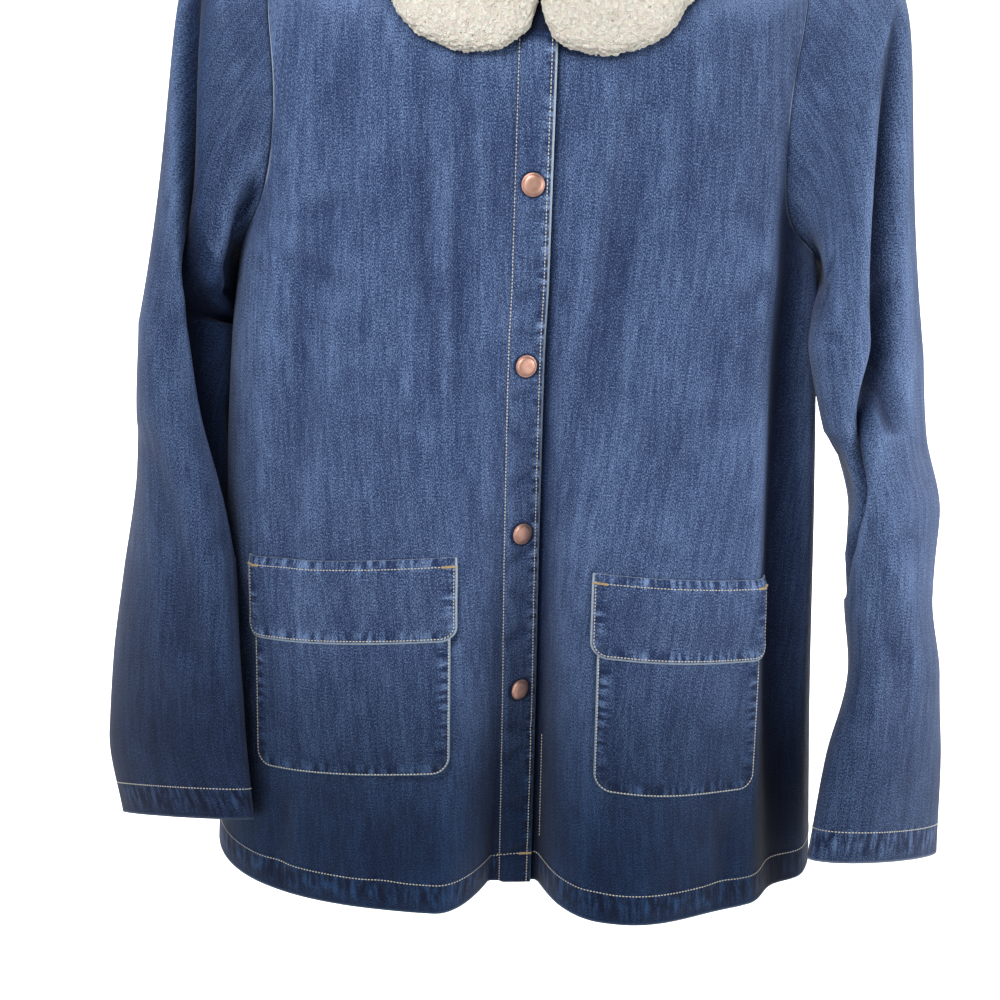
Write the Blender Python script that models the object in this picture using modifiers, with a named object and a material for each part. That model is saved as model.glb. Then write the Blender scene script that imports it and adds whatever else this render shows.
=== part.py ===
"""Denim jacket with a fleece collar, hanging open at the hem and filled out with no wearer.

Every piece of cloth is a real wall. The body is one surface that runs round the jacket: a table of
level sections gives its girth and a table of folds gives its troughs and swells. Each panel is a
stretch of that surface between its seams. Sleeves grow out of the armholes and follow a table of
sections of their own. What is sewn on a panel is made from that panel's points, moved out.

Metres, +Z up. The front faces -Y and the wearer's left is +X. The origin lies midway between the two
points where the shoulder seams meet the neck, which is where a neck or a hook holds the jacket.
"""
import math
from collections import namedtuple

import bmesh
import bpy
import numpy as np
from mathutils import Vector

# ---------------------------------------------------------------- driving dimensions, in metres
DENIM = 0.0015              # wall of one layer of denim
SEAM_GAP = 0.0003           # clearance between neighbouring pieces
LAY_GAP = 0.0004            # clearance under a piece that lies on a panel
HEM_LEVEL = -0.711          # level of the hem
UNDERARM_LEVEL = -0.245     # level of the bottom of the armhole
SHOULDER_LEVEL = -0.100     # level of the section that meets the outer end of the shoulder seam
NECK_LEVEL = -0.060         # level of the neckline at the centre front
PLACKET_HALF = 0.0130       # half of the width of the placket
SNAP_PITCH = 0.120          # spacing of the snaps down the placket
TOP_SNAP_LEVEL = -0.189     # level of the top snap
SNAP_COUNT = 4
SNAP_RIM = 0.0082           # radius of the thin flange round the cap
SNAP_STEPS = 16             # facets round a snap
FLAP_TOP = -0.444           # levels of the pockets and their flaps
FLAP_END = -0.503
POCKET_TOP = -0.462
POCKET_END = -0.602
FLEECE = 0.0075             # depth of the collar's pile and its backing
COLLAR_CLEAR = 0.0022       # clearance between the collar's flat facets and the panels' facets
COLLAR_STAND = 0.006        # how far the collar rolls up at the neck
RIDGE_CLEAR = 0.0015        # further clearance over the shoulder seams
RIDGE_REACH = 0.2           # how far it reaches to each side of them, as part of a quarter
STEP_DOWN_END = 0.030       # distance from the middle line where the collar has come off the placket
STEP_DOWN = 0.012           # length of its step down
COLLAR_STEPS = 26           # columns of the collar from the centre front to the centre back
ARMHOLE_POINTS = 18         # points round each armhole, shared by the panels and the sleeve
ARMHOLE_FRONT = 0.27        # part of a quarter of the body that the armhole takes from the front
ARMHOLE_BACK = 0.25         # and from the back
ARMHOLE_POWER = 0.8         # below 1 the armhole's front and back edges run straighter
ARMHOLE_GAP = 0.0012        # how far inside the armhole the sleeve starts, so that walls stay clear
SLEEVE_SLIT = 0.0008        # half of the slit between the halves of a sleeve
HEAD_RISE = 0.045           # upward pull at the top of the armhole, where a sleeve's head leaves it
HEAD_SPREAD = 0.150         # outward pull at the outer side, where the head meets the arm
UNDERARM_DROP = 0.070       # downward pull under the arm, where the head meets the arm
OUTER_DROP = 0.130          # more downward pull towards the outer side
TOP_DROP = 0.500            # more again close to the outer side
STRAIGHT_BELOW = -0.444     # below this level the fronts' columns hang straight
SHARED_ABOVE = -0.290       # above it they close up towards the armhole
EVEN_PART = 0.78            # part of a quarter over which the columns above stay evenly spread
SHOULDER_GAP = 0.0018       # clearance at the shoulder seams, where the walls meet at an angle
SHOULDER_ROWS = 4           # rows of a panel between the shoulder point and the neck
BACK_COLUMNS = 14           # columns of the back panel
BACK_CROWDING = 0.30        # how much they crowd towards the side seams
HEAD_ROWS = [0.0, 0.08, 0.18, 0.32, 0.48, 0.65, 0.82, 1.0]  # rows of a sleeve's head, armhole to arm
ARM_ROWS = 9                # rows of a sleeve below its head

COLLECTION = "denim_jacket"

# Sections of the body from the neckline to the hem. level is the height at the centre front, and the
# section lies higher by side_rise at the side seams and by back_rise at the centre back. centre and
# half_width lie along X, front is how far forward the placket hangs, back is how far back the centre
# back lies, and square is the exponent of the oval.
Section = namedtuple("Section", "level side_rise back_rise centre half_width front back square")
BODY_SECTIONS = [
    Section(-0.060, 0.060, 0.048, 0.000, 0.072, 0.090, 0.052, 2.0),
    Section(-0.080, 0.065, 0.047, 0.000, 0.131, 0.096, 0.062, 2.0),
    Section(-0.100, 0.070, 0.046, 0.000, 0.190, 0.100, 0.070, 2.1),
    Section(-0.130, 0.054, 0.038, 0.000, 0.198, 0.102, 0.074, 2.4),
    Section(-0.170, 0.034, 0.025, 0.000, 0.200, 0.102, 0.077, 2.6),
    Section(-0.210, 0.015, 0.012, 0.000, 0.203, 0.102, 0.079, 2.7),
    Section(-0.250, 0.004, 0.003, 0.000, 0.212, 0.102, 0.079, 2.8),
    Section(-0.300, 0.000, 0.000, -0.001, 0.218, 0.102, 0.078, 2.8),
    Section(-0.430, 0.000, 0.000, 0.000, 0.227, 0.102, 0.077, 2.8),
    Section(-0.550, 0.000, 0.000, 0.002, 0.233, 0.102, 0.077, 2.8),
    Section(-0.711, 0.000, 0.000, 0.004, 0.245, 0.102, 0.080, 2.8),
]

# The deep valley that the placket lies in. depth is how far its middle lies behind the bulges beside
# it and tilt is the placket's slope towards its free edge. The valley's floor ends at this distance
# from the centre on the wearer's right, and its sides reach this far beyond the floor.
Valley = namedtuple("Valley", "level depth tilt floor_right reach_right reach_left")
PLACKET_VALLEY = [
    Valley(-0.060, 0.001, 0.00, 0.0130, 0.030, 0.030),
    Valley(-0.160, 0.003, 0.00, 0.0130, 0.034, 0.034),
    Valley(-0.250, 0.006, 0.20, 0.0130, 0.036, 0.036),
    Valley(-0.310, 0.011, 0.40, 0.0130, 0.038, 0.040),
    Valley(-0.370, 0.018, 0.50, 0.0132, 0.040, 0.042),
    Valley(-0.430, 0.027, 0.60, 0.0135, 0.042, 0.045),
    Valley(-0.500, 0.036, 0.70, 0.0140, 0.043, 0.048),
    Valley(-0.550, 0.041, 0.78, 0.0140, 0.042, 0.049),
    Valley(-0.620, 0.045, 0.55, 0.0160, 0.041, 0.050),
    Valley(-0.711, 0.047, 0.05, 0.0200, 0.040, 0.050),
]
FLOOR_LEFT = 0.0160         # where the valley's floor ends on the wearer's left
RIGHT_SLOPE = 2.0           # how sharply the valley's right side leaves the placket
LEFT_SLOPE = 2.4            # and its left side

# Troughs (depth above zero) and swells (depth below zero) of the body. line is the centre front or
# the centre back, and place is the distance from it round the cloth, towards the wearer's left when
# above zero. place and depth have a value at the top, middle and end of the fold.
Fold = namedtuple("Fold", "name line top end place_top place_mid place_end "
                          "reach_right reach_left depth_top depth_mid depth_end")
BODY_FOLDS = [
    Fold("left chest trough", "front", -0.098, -0.430, 0.075, 0.052, 0.030,
         0.020, 0.026, 0.000, 0.007, 0.000),
    Fold("right chest trough", "front", -0.098, -0.420, -0.048, -0.046, -0.040,
         0.018, 0.016, 0.000, 0.005, 0.000),
    Fold("right outer trough", "front", -0.098, -0.360, -0.075, -0.070, -0.062,
         0.022, 0.014, 0.000, 0.005, 0.000),
    Fold("right armhole trough", "front", -0.110, -0.490, -0.125, -0.155, -0.178,
         0.030, 0.026, 0.000, 0.006, 0.000),
    Fold("left side trough", "front", -0.110, -0.711, 0.196, 0.202, 0.215,
         0.034, 0.036, 0.000, 0.019, 0.010),
    Fold("left hem swell", "front", -0.400, -0.711, 0.100, 0.098, 0.092,
         0.062, 0.070, 0.000, -0.005, -0.009),
    Fold("back middle trough", "back", -0.130, -0.711, 0.010, -0.012, -0.020,
         0.050, 0.060, 0.000, 0.008, 0.014),
    Fold("back left trough", "back", -0.180, -0.711, 0.110, 0.120, 0.128,
         0.045, 0.040, 0.000, 0.008, 0.013),
    Fold("back right trough", "back", -0.150, -0.711, -0.105, -0.120, -0.138,
         0.038, 0.050, 0.000, 0.006, 0.012),
]

# Where a pocket lies on its front panel.
# near and far are its sides' distances from the centre front. lift raises its near side and droop is
# how much lower the far side hangs, because the cloth sags towards the sides.
PocketPlace = namedtuple("PocketPlace", "near far lift droop")
RIGHT_POCKET = PocketPlace(0.0485, 0.1990, 0.0050, 0.0150)
LEFT_POCKET = PocketPlace(0.0545, 0.1770, -0.0035, 0.0090)
PLACKET_LINES = [-0.0130, -0.0043, 0.0043, 0.0130]
VALLEY_LINES = [0.0160, 0.0235, 0.0330]     # columns on the slope beside the placket
POCKET_MARGIN = 0.006       # distance from a pocket's side to the nearest column outside it
POCKET_COLUMNS = [0.16, 0.39, 0.61, 0.84]   # columns behind the pocket, as parts of its width
SIDE_COLUMNS = [0.33, 0.62, 0.85]           # and from the pocket to the side seam
SAG_FADE = 0.050            # the pocket's droop fades over this distance past its far side
SAG_LEVELS = [-0.700, -0.605, -0.430, -0.365]       # the pockets' lift and droop fade past these
UNDERLAP_REACH = 0.034      # from here to the centre the left front bends in under the right one
LOW_ROWS = [HEM_LEVEL, -0.687, -0.645, POCKET_END, -0.570, -0.537, FLAP_END, POCKET_TOP, FLAP_TOP,
            -0.405, -0.365, -0.325, -0.285]
FLAP_OVERHANG = 0.004       # how far a flap reaches past its pocket at each side
FLAP_CORNER = 0.011
POCKET_CORNER = 0.013
CORNER_STEP = 0.3           # where the middle row of a rounded corner lies, as part of its height

# Sections of the sleeves, in order from the first free ring to the cuff. out and y place the middle
# of the oval, away from the middle of the body and fore and aft. long and thin are its half sizes,
# turn is the angle of its long axis from the X axis, with the inner end turned forward, and tilt is
# how much it rises towards the front.
Oval = namedtuple("Oval", "z out y long thin turn tilt")
RIGHT_SLEEVE = [
    Oval(-0.300, 0.2540, -0.016, 0.074, 0.0310, 88.0, 0.16),
    Oval(-0.360, 0.2570, -0.034, 0.071, 0.0310, 80.0, 0.18),
    Oval(-0.420, 0.2550, -0.053, 0.068, 0.0310, 64.0, 0.22),
    Oval(-0.480, 0.2556, -0.071, 0.067, 0.0290, 48.0, 0.30),
    Oval(-0.540, 0.2570, -0.083, 0.069, 0.0280, 40.0, 0.38),
    Oval(-0.600, 0.2565, -0.090, 0.069, 0.0280, 33.0, 0.45),
    Oval(-0.661, 0.2470, -0.104, 0.062, 0.0250, 28.0, 0.52),
]
LEFT_SLEEVE = [
    Oval(-0.300, 0.2520, -0.048, 0.069, 0.0290, 53.0, 0.16),
    Oval(-0.360, 0.2630, -0.048, 0.069, 0.0300, 57.0, 0.18),
    Oval(-0.420, 0.2780, -0.056, 0.070, 0.0300, 57.0, 0.22),
    Oval(-0.480, 0.2785, -0.066, 0.067, 0.0310, 65.0, 0.28),
    Oval(-0.540, 0.2860, -0.078, 0.061, 0.0310, 58.0, 0.35),
    Oval(-0.600, 0.2815, -0.092, 0.063, 0.0320, 42.0, 0.42),
    Oval(-0.674, 0.2765, -0.109, 0.066, 0.0290, 33.0, 0.42),
]
# How far the top of each sleeve's head swings out before it drops.
RIGHT_HEAD = 0.26
LEFT_HEAD = 0.30
UNDERARM_SWING = 0.030      # the same at the underarm

# Lengthwise folds of the sleeves. around is measured from the outer side of the arm (0 degrees) over
# its front (90) to its inner side (180), and run goes from the armhole (0) to the cuff (1).
SleeveFold = namedtuple("SleeveFold", "name run_top run_end around_top around_end reach depth")
RIGHT_SLEEVE_FOLDS = [
    SleeveFold("armhole valley", 0.02, 0.42, 88.0, 122.0, 42.0, 0.026),
    SleeveFold("elbow crease", 0.45, 0.80, 60.0, 100.0, 28.0, 0.004),
    SleeveFold("back crease", 0.20, 0.70, 280.0, 310.0, 36.0, 0.007),
]
LEFT_SLEEVE_FOLDS = [
    SleeveFold("front valley", 0.04, 0.46, 62.0, 74.0, 34.0, 0.022),
    SleeveFold("elbow crease", 0.50, 0.85, 120.0, 80.0, 30.0, 0.004),
    SleeveFold("back crease", 0.15, 0.75, 270.0, 300.0, 36.0, 0.008),
]

# Outer edge of the collar. round is the place round the neck (0 at the centre front, 1 at the
# shoulder seam, 2 at the centre back) and level is the body's section that the edge lies on.
CollarEdge = namedtuple("CollarEdge", "round level")
COLLAR_EDGE = [
    CollarEdge(0.008, -0.078),
    CollarEdge(0.030, -0.094),
    CollarEdge(0.080, -0.104),
    CollarEdge(0.135, -0.109),
    CollarEdge(0.200, -0.111),
    CollarEdge(0.330, -0.106),
    CollarEdge(0.430, -0.093),
    CollarEdge(0.650, -0.084),
    CollarEdge(1.000, -0.083),
    CollarEdge(1.350, -0.096),
    CollarEdge(1.700, -0.109),
    CollarEdge(1.900, -0.112),
    CollarEdge(2.000, -0.112),
]

Finish = namedtuple("Finish", "colour roughness metallic")
DENIM_FINISH = Finish((0.045, 0.085, 0.205), 0.85, 0.0)
FLEECE_FINISH = Finish((0.86, 0.82, 0.75), 0.95, 0.0)
COPPER_FINISH = Finish((0.72, 0.42, 0.30), 0.35, 1.0)


# ---------------------------------------------------------------- curves
def smooth(value, knots, heights):
    """Read a smooth curve through the knots, without overshoot, at one value."""
    knots = np.asarray(knots, float)
    heights = np.asarray(heights, float)
    steps = np.diff(knots)
    slopes = np.diff(heights) / steps
    inner = np.where(slopes[:-1] * slopes[1:] > 0.0,
                     2.0 * slopes[:-1] * slopes[1:] / (slopes[:-1] + slopes[1:] + 1e-30), 0.0)
    tangents = np.concatenate([slopes[:1], inner, slopes[-1:]])
    span = int(np.clip(np.searchsorted(knots, value) - 1, 0, len(steps) - 1))
    t = float(np.clip((value - knots[span]) / steps[span], 0.0, 1.0))
    rise = heights[span + 1] - heights[span]
    bend = (tangents[span] * (1.0 - t) - tangents[span + 1] * t) * steps[span] + rise * (2.0 * t - 1.0)
    return heights[span] + t * rise + t * (1.0 - t) * bend


def three_point(t, first, middle, last):
    """Read the parabola through three values at 0, 0.5 and 1."""
    return (first * (1.0 - t) * (1.0 - 2.0 * t) + middle * 4.0 * t * (1.0 - t)
            + last * t * (2.0 * t - 1.0))


def swell(distance):
    """A rounded bump: 1 at no distance, falling to 0 at a distance of 1."""
    if abs(distance) >= 1.0:
        return 0.0
    return 0.5 + 0.5 * math.cos(math.pi * distance)


def ease(t):
    """Go smoothly from 0 to 1 as t does."""
    t = min(max(t, 0.0), 1.0)
    return t * t * (3.0 - 2.0 * t)


# ---------------------------------------------------------------- the body's surface
def fold_depth(fold, along, level):
    """Depth of one fold at a distance along the cloth and a level."""
    if not fold.end <= level <= fold.top:
        return 0.0
    t = (fold.top - level) / (fold.top - fold.end)
    place = three_point(t, fold.place_top, fold.place_mid, fold.place_end)
    reach = fold.reach_left if along > place else fold.reach_right
    return three_point(t, fold.depth_top, fold.depth_mid, fold.depth_end) * swell((along - place) / reach)


def read_table(table, level):
    """A row of a table at any level, read from smooth curves through its columns."""
    drops = [-row.level for row in table]
    values = [smooth(-level, drops, [row[field] for row in table]) for field in range(1, len(table[0]))]
    return type(table[0])(level, *values)


def valley_depth(along, level):
    """Depth of the placket's valley at a distance from the centre front."""
    valley = read_table(PLACKET_VALLEY, level)
    edge = min(max(along, -valley.floor_right), FLOOR_LEFT)
    depth = valley.depth + valley.tilt * edge
    if along < edge:
        return depth * max(1.0 - (edge - along) / valley.reach_right, 0.0) ** RIGHT_SLOPE
    return depth * max(1.0 - (along - edge) / valley.reach_left, 0.0) ** LEFT_SLOPE


section_cache = {}


def section_at(level):
    """The body's section at a level, with the depth of the placket's valley added to its front."""
    key = round(level, 6)
    if key not in section_cache:
        section = read_table(BODY_SECTIONS, level)
        valley = read_table(PLACKET_VALLEY, level)
        section_cache[key] = section._replace(front=section.front + valley.depth)
    return section_cache[key]


QUARTER_STEPS = 72
NORMAL_STEP = 0.002
RUN_NUDGE = 0.006           # share of a quarter's length over which its direction is read
quarter_cache = {}


def quarter(level, at_back):
    """A quarter of a section's oval, from its middle line to its side, with its running length."""
    key = (round(level, 6), at_back)
    if key not in quarter_cache:
        row = section_at(level)
        turn = np.linspace(0.0, math.pi / 2.0, QUARTER_STEPS + 1)
        across = row.half_width * np.sin(turn) ** (2.0 / row.square)
        deep = (row.back if at_back else row.front) * np.cos(turn) ** (2.0 / row.square)
        run = np.concatenate([[0.0], np.cumsum(np.hypot(np.diff(across), np.diff(deep)))])
        quarter_cache[key] = (across, deep, run)
    return quarter_cache[key]


def quarter_length(level, at_back=False):
    """Length of the cloth from the middle line to the side seam at a level, before folds."""
    return quarter(level, at_back)[2][-1]


def body_point(place, level):
    """A point of the body's outer face. place is 0 at the centre front, 1 at the wearer's left side
    seam, 2 at the centre back and -1 at the right side seam."""
    place = (place + 2.0) % 4.0 - 2.0
    side = 1.0 if place >= 0.0 else -1.0
    at_back = abs(place) > 1.0
    facing = 1.0 if at_back else -1.0
    fraction = 2.0 - abs(place) if at_back else abs(place)
    section = section_at(level)
    across, deep, run = quarter(level, at_back)
    along = fraction * run[-1]
    nudge = run[-1] * RUN_NUDGE
    ahead = min(along + nudge, run[-1])
    behind = max(along - nudge, 0.0)
    tangent_x = np.interp(ahead, run, across) - np.interp(behind, run, across)
    tangent_y = np.interp(ahead, run, deep) - np.interp(behind, run, deep)
    length = math.hypot(tangent_x, tangent_y)
    depth = sum(fold_depth(fold, along * side, level) for fold in BODY_FOLDS
                if (fold.line == "back") == at_back)
    if not at_back:
        depth += valley_depth(along * side, level)
    x = section.centre + side * (np.interp(along, run, across) + tangent_y / length * depth)
    y = facing * (np.interp(along, run, deep) - tangent_x / length * depth)
    low = section.back_rise if at_back else 0.0
    rise = low + (section.side_rise - low) * fraction ** 1.7
    return np.array([x, y, level + rise])


def lifted_point(place, level, height):
    """A point at a height above the body's surface, measured square to it."""
    beside = (body_point(place + NORMAL_STEP, level) - body_point(place - NORMAL_STEP, level))
    above = body_point(place, min(level + NORMAL_STEP, NECK_LEVEL))
    normal = np.cross(beside, above - body_point(place, level - NORMAL_STEP))
    return body_point(place, level) + normal / np.linalg.norm(normal) * height


def armhole_place(around):
    """Where the armhole runs, as (part of a quarter in from the side seam, level). around is 0
    degrees at the shoulder point and 180 at the underarm, over the front."""
    middle = 0.5 * (SHOULDER_LEVEL + UNDERARM_LEVEL)
    reach = 0.5 * (SHOULDER_LEVEL - UNDERARM_LEVEL)
    angle = math.radians(around)
    lean = ARMHOLE_FRONT if math.sin(angle) >= 0.0 else ARMHOLE_BACK
    return lean * abs(math.sin(angle)) ** ARMHOLE_POWER, middle + reach * math.cos(angle)


# ---------------------------------------------------------------- grids of points and meshes
def row_table():
    """The panels' rows from the hem to the neck: how much of a quarter the armhole takes at the row's
    end, the row's level at that end, and its level at the centre front or back."""
    ends = [armhole_place(180.0 - index * 360.0 / ARMHOLE_POINTS)
            for index in range(ARMHOLE_POINTS // 2 + 1)]
    shoulder = np.linspace(SHOULDER_LEVEL, NECK_LEVEL, SHOULDER_ROWS + 1)[1:]
    ends += [(0.0, level) for level in shoulder]
    middles = np.linspace(UNDERARM_LEVEL, NECK_LEVEL, len(ends))
    low = [(0.0, level, level) for level in LOW_ROWS]
    return low + [(inset, level, middle) for (inset, level), middle in zip(ends, middles)]


def row_level(middle, end, share):
    """Level along a row: even over the chest, and bent to meet the armhole near its end."""
    return middle + (end - middle) * share ** 3


def column_distance(line, share, level, end):
    """Distance from the centre front of a column at a level. The placket's columns stay straight,
    and above the pockets the others close up towards the armhole."""
    even = EVEN_PART * quarter_length(level)
    shared = PLACKET_HALF + share * (even - PLACKET_HALF) + share ** 4 * (end - even)
    return line + (shared - line) * ease((level - STRAIGHT_BELOW) / (SHARED_ABOVE - STRAIGHT_BELOW))


def sag(along, level, pocket):
    """How far the cloth and the pocket on it hang above or below their level."""
    reach = [PLACKET_HALF, pocket.near, pocket.far, pocket.far + SAG_FADE]
    amount = np.interp(along, reach, [0.0, pocket.lift, pocket.lift - pocket.droop, 0.0])
    return amount * np.interp(level, SAG_LEVELS, [0.0, 1.0, 1.0, 0.0])


def front_grid(lines, side, pocket, push):
    """Points of a front panel, hem to neck, with its columns in order along X. lines are the columns'
    distances from the centre front. The column past the last line is the side seam, the armhole
    and the shoulder seam."""
    full = quarter_length(STRAIGHT_BELOW)
    grid = []
    for inset, end_level, middle in row_table():
        points = []
        for line in lines:
            share = max(line - PLACKET_HALF, 0.0) / (full - PLACKET_HALF)
            level = row_level(middle, end_level, share)
            length = quarter_length(level)
            end = (1.0 - inset) * length
            along = column_distance(line, share, level, end) if share else line
            level += sag(along, level, pocket)
            points.append(lifted_point(side * along / quarter_length(level), level, push(along)))
        gap = SHOULDER_GAP if end_level > SHOULDER_LEVEL else SEAM_GAP
        seam = 1.0 - inset - gap / 2.0 / quarter_length(end_level)
        grid.append(points + [body_point(side * seam, end_level)])
    return np.array(grid)[:, ::int(side)]


def back_grid(columns):
    """Points of the back panel, hem to neck, from the left side seam to the right one."""
    spread = np.linspace(-1.0, 1.0, columns + 1)
    spread = spread * (1.0 + BACK_CROWDING * (1.0 - spread ** 2))
    grid = []
    for inset, end_level, middle in row_table():
        taken = inset * ARMHOLE_BACK / ARMHOLE_FRONT
        gap = SHOULDER_GAP if end_level > SHOULDER_LEVEL else SEAM_GAP
        seam = taken + gap / 2.0 / quarter_length(end_level, True)
        grid.append([body_point(2.0 + (1.0 - seam) * part, row_level(middle, end_level, abs(part)))
                     for part in spread])
    return np.array(grid)


def grid_normals(grid, wrap=False):
    """Unit normals at a grid's points, from its rows and columns."""
    if wrap:
        across = np.roll(grid, -1, axis=1) - np.roll(grid, 1, axis=1)
    else:
        across = np.gradient(grid, axis=1)
    normals = np.cross(across, np.gradient(grid, axis=0))
    return normals / np.linalg.norm(normals, axis=2, keepdims=True)


def on_grid(grid, row, column):
    """A point of a grid's triangles, at a row and a column that may lie between two."""
    low_row = int(min(max(row, 0.0), len(grid) - 2))
    low_column = int(min(max(column, 0.0), grid.shape[1] - 2))
    up = row - low_row
    across = column - low_column
    first, second = grid[low_row, low_column], grid[low_row, low_column + 1]
    third, fourth = grid[low_row + 1, low_column + 1], grid[low_row + 1, low_column]
    if across >= up:
        return first + across * (second - first) + up * (third - second)
    return first + up * (fourth - first) + across * (third - fourth)


def patch_grid(panel, levels, near, far, corner, height):
    """Points of a piece that lies on a front panel, moved straight out by height(level). It reaches
    from near to far across the panel, and its lower corners are rounded."""
    lines, grid, normals = panel
    panel_levels = [middle for _, _, middle in row_table()]
    inner = [line for line in lines if near + corner < line < far - corner]
    rows = []
    for level in levels:
        lift = min(level - levels[0], corner)
        inset = corner - math.sqrt(max(corner ** 2 - (corner - lift) ** 2, 0.0)) if corner else 0.0
        row = np.interp(level, panel_levels, range(len(panel_levels)))
        points = []
        for line in [near + inset] + inner + [far - inset]:
            column = np.interp(line, lines, range(len(lines)))
            out = on_grid(normals, row, column)
            points.append(on_grid(grid, row, column) + out / np.linalg.norm(out) * height(level))
        rows.append(points)
    return np.array(rows)


# ---------------------------------------------------------------- objects
def remove_old_objects():
    """Empty the scene, so that the script can be run again from the text editor."""
    for old in list(bpy.data.objects):
        bpy.data.objects.remove(old, do_unlink=True)
    for old in list(bpy.data.collections):
        bpy.data.collections.remove(old)


def add_collection():
    """Make the collection that holds the jacket's pieces."""
    collection = bpy.data.collections.new(COLLECTION)
    bpy.context.scene.collection.children.link(collection)
    return collection


def material(name, finish):
    """A Principled material with a piece's colour, roughness and metallic value."""
    made = bpy.data.materials.new(name)
    made.use_nodes = True
    shader = made.node_tree.nodes["Principled BSDF"]
    shader.inputs["Base Color"].default_value = (*finish.colour, 1.0)
    shader.inputs["Roughness"].default_value = finish.roughness
    shader.inputs["Metallic"].default_value = finish.metallic
    made.diffuse_color = (*finish.colour, 1.0)
    return made


def add_object(name, mesh, finish):
    """Turn a bmesh into a named, smooth-shaded object with its own material."""
    data = bpy.data.meshes.new(name)
    mesh.to_mesh(data)
    mesh.free()
    data.shade_smooth()
    data.materials.append(material(name, finish))
    made = bpy.data.objects.new(name, data)
    bpy.data.collections[COLLECTION].objects.link(made)
    return made


def sheet_object(name, grid):
    """A grid of points, rows by columns, as a sheet of denim whose wall lies inside its outer face."""
    rows, columns = grid.shape[:2]
    mesh = bmesh.new()
    points = [[mesh.verts.new(point) for point in row] for row in grid]
    for row in range(rows - 1):
        for column in range(columns - 1):
            first, second = points[row][column], points[row][column + 1]
            third, fourth = points[row + 1][column + 1], points[row + 1][column]
            mesh.faces.new([first, second, third])
            mesh.faces.new([first, third, fourth])
    sheet = add_object(name, mesh, DENIM_FINISH)
    solidify = sheet.modifiers.new("Wall", "SOLIDIFY")
    solidify.thickness = DENIM
    solidify.offset = -1.0
    return sheet


# ---------------------------------------------------------------- the pieces
def panel_lines(pocket):
    """Columns of a front panel. The pocket's sides lie inside the columns' two narrow strips."""
    near = pocket.near - POCKET_MARGIN
    far = pocket.far + POCKET_MARGIN
    inner = [near + (far - near) * part for part in POCKET_COLUMNS]
    outer = [far + (quarter_length(STRAIGHT_BELOW) - far) * part for part in SIDE_COLUMNS]
    return PLACKET_LINES + VALLEY_LINES + [near] + inner + [far] + outer


def make_front(name, side, pocket, push):
    """A front panel, and what patches need to lie on it: its columns' distances from the centre
    front towards the wearer's left, its points and its normals."""
    lines = panel_lines(pocket)
    grid = front_grid(lines, side, pocket, push)
    sheet_object(name, grid)
    signed = sorted(side * line for line in lines + [quarter_length(STRAIGHT_BELOW)])
    return signed, grid, grid_normals(grid)


def underlap(along):
    """How far the left front's edge is tucked in, to pass under the right front."""
    tuck = DENIM + LAY_GAP
    return -tuck * ease((UNDERLAP_REACH - along) / (UNDERLAP_REACH - FLOOR_LEFT))


def make_pocket(label, side, pocket, panel):
    """A patch pocket and the flap sewn over its mouth."""
    above_panel = LAY_GAP + DENIM
    near, far = sorted((side * pocket.near, side * pocket.far))
    rounded = [POCKET_END, POCKET_END + CORNER_STEP * POCKET_CORNER, POCKET_END + POCKET_CORNER]
    levels = rounded + [level for level in LOW_ROWS if rounded[-1] < level <= POCKET_TOP]
    grid = patch_grid(panel, levels, near, far, POCKET_CORNER, lambda level: above_panel)
    sheet_object(label + "_pocket", grid)
    rounded = [FLAP_END, FLAP_END + CORNER_STEP * FLAP_CORNER, FLAP_END + FLAP_CORNER]
    levels = rounded + [POCKET_TOP, FLAP_TOP]
    grid = patch_grid(panel, levels, near - FLAP_OVERHANG, far + FLAP_OVERHANG, FLAP_CORNER,
                      lambda level: above_panel * (1.0 if level == FLAP_TOP else 2.0))
    sheet_object(label + "_pocket_flap", grid)


def make_placket(panel):
    """The doubled band down the right front's edge, and its snaps."""
    levels = [middle for _, _, middle in row_table()]
    grid = patch_grid(panel, levels, PLACKET_LINES[0], PLACKET_LINES[-1], 0.0,
                      lambda level: LAY_GAP + DENIM)
    sheet_object("placket", grid)
    normals = grid_normals(grid)
    middle = (grid.shape[1] - 1) / 2.0
    for index in range(SNAP_COUNT):
        row = np.interp(TOP_SNAP_LEVEL - index * SNAP_PITCH, levels, range(len(levels)))
        make_snap("snap_%d" % (index + 1), on_grid(grid, row, middle), on_grid(normals, row, middle))


# Half profile of a snap from its seat to its crown: distance from the axis and height, as parts of
# the flange's radius.
ProfilePoint = namedtuple("ProfilePoint", "radius height")
SNAP_PROFILE = [
    ProfilePoint(0.00, 0.34),
    ProfilePoint(0.40, 0.31),
    ProfilePoint(0.74, 0.20),
    ProfilePoint(0.89, 0.09),
    ProfilePoint(1.00, 0.07),
    ProfilePoint(1.00, 0.00),
    ProfilePoint(0.00, 0.00),
]


def make_snap(name, seat, normal):
    """A domed snap cap with a thin flange, turned about its axis and seated on the placket."""
    mesh = bmesh.new()
    points = [mesh.verts.new((point.radius * SNAP_RIM, 0.0, point.height * SNAP_RIM))
              for point in SNAP_PROFILE]
    for first, second in zip(points, points[1:]):
        mesh.edges.new((first, second))
    snap = add_object(name, mesh, COPPER_FINISH)
    screw = snap.modifiers.new("Turn", "SCREW")
    screw.steps = SNAP_STEPS
    screw.render_steps = SNAP_STEPS
    screw.use_merge_vertices = True
    screw.merge_threshold = 0.00005
    screw.use_smooth_shade = True
    out = Vector(normal).normalized()
    snap.rotation_euler = out.to_track_quat("Z", "Y").to_euler()
    snap.location = Vector(seat) + out * SEAM_GAP


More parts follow.
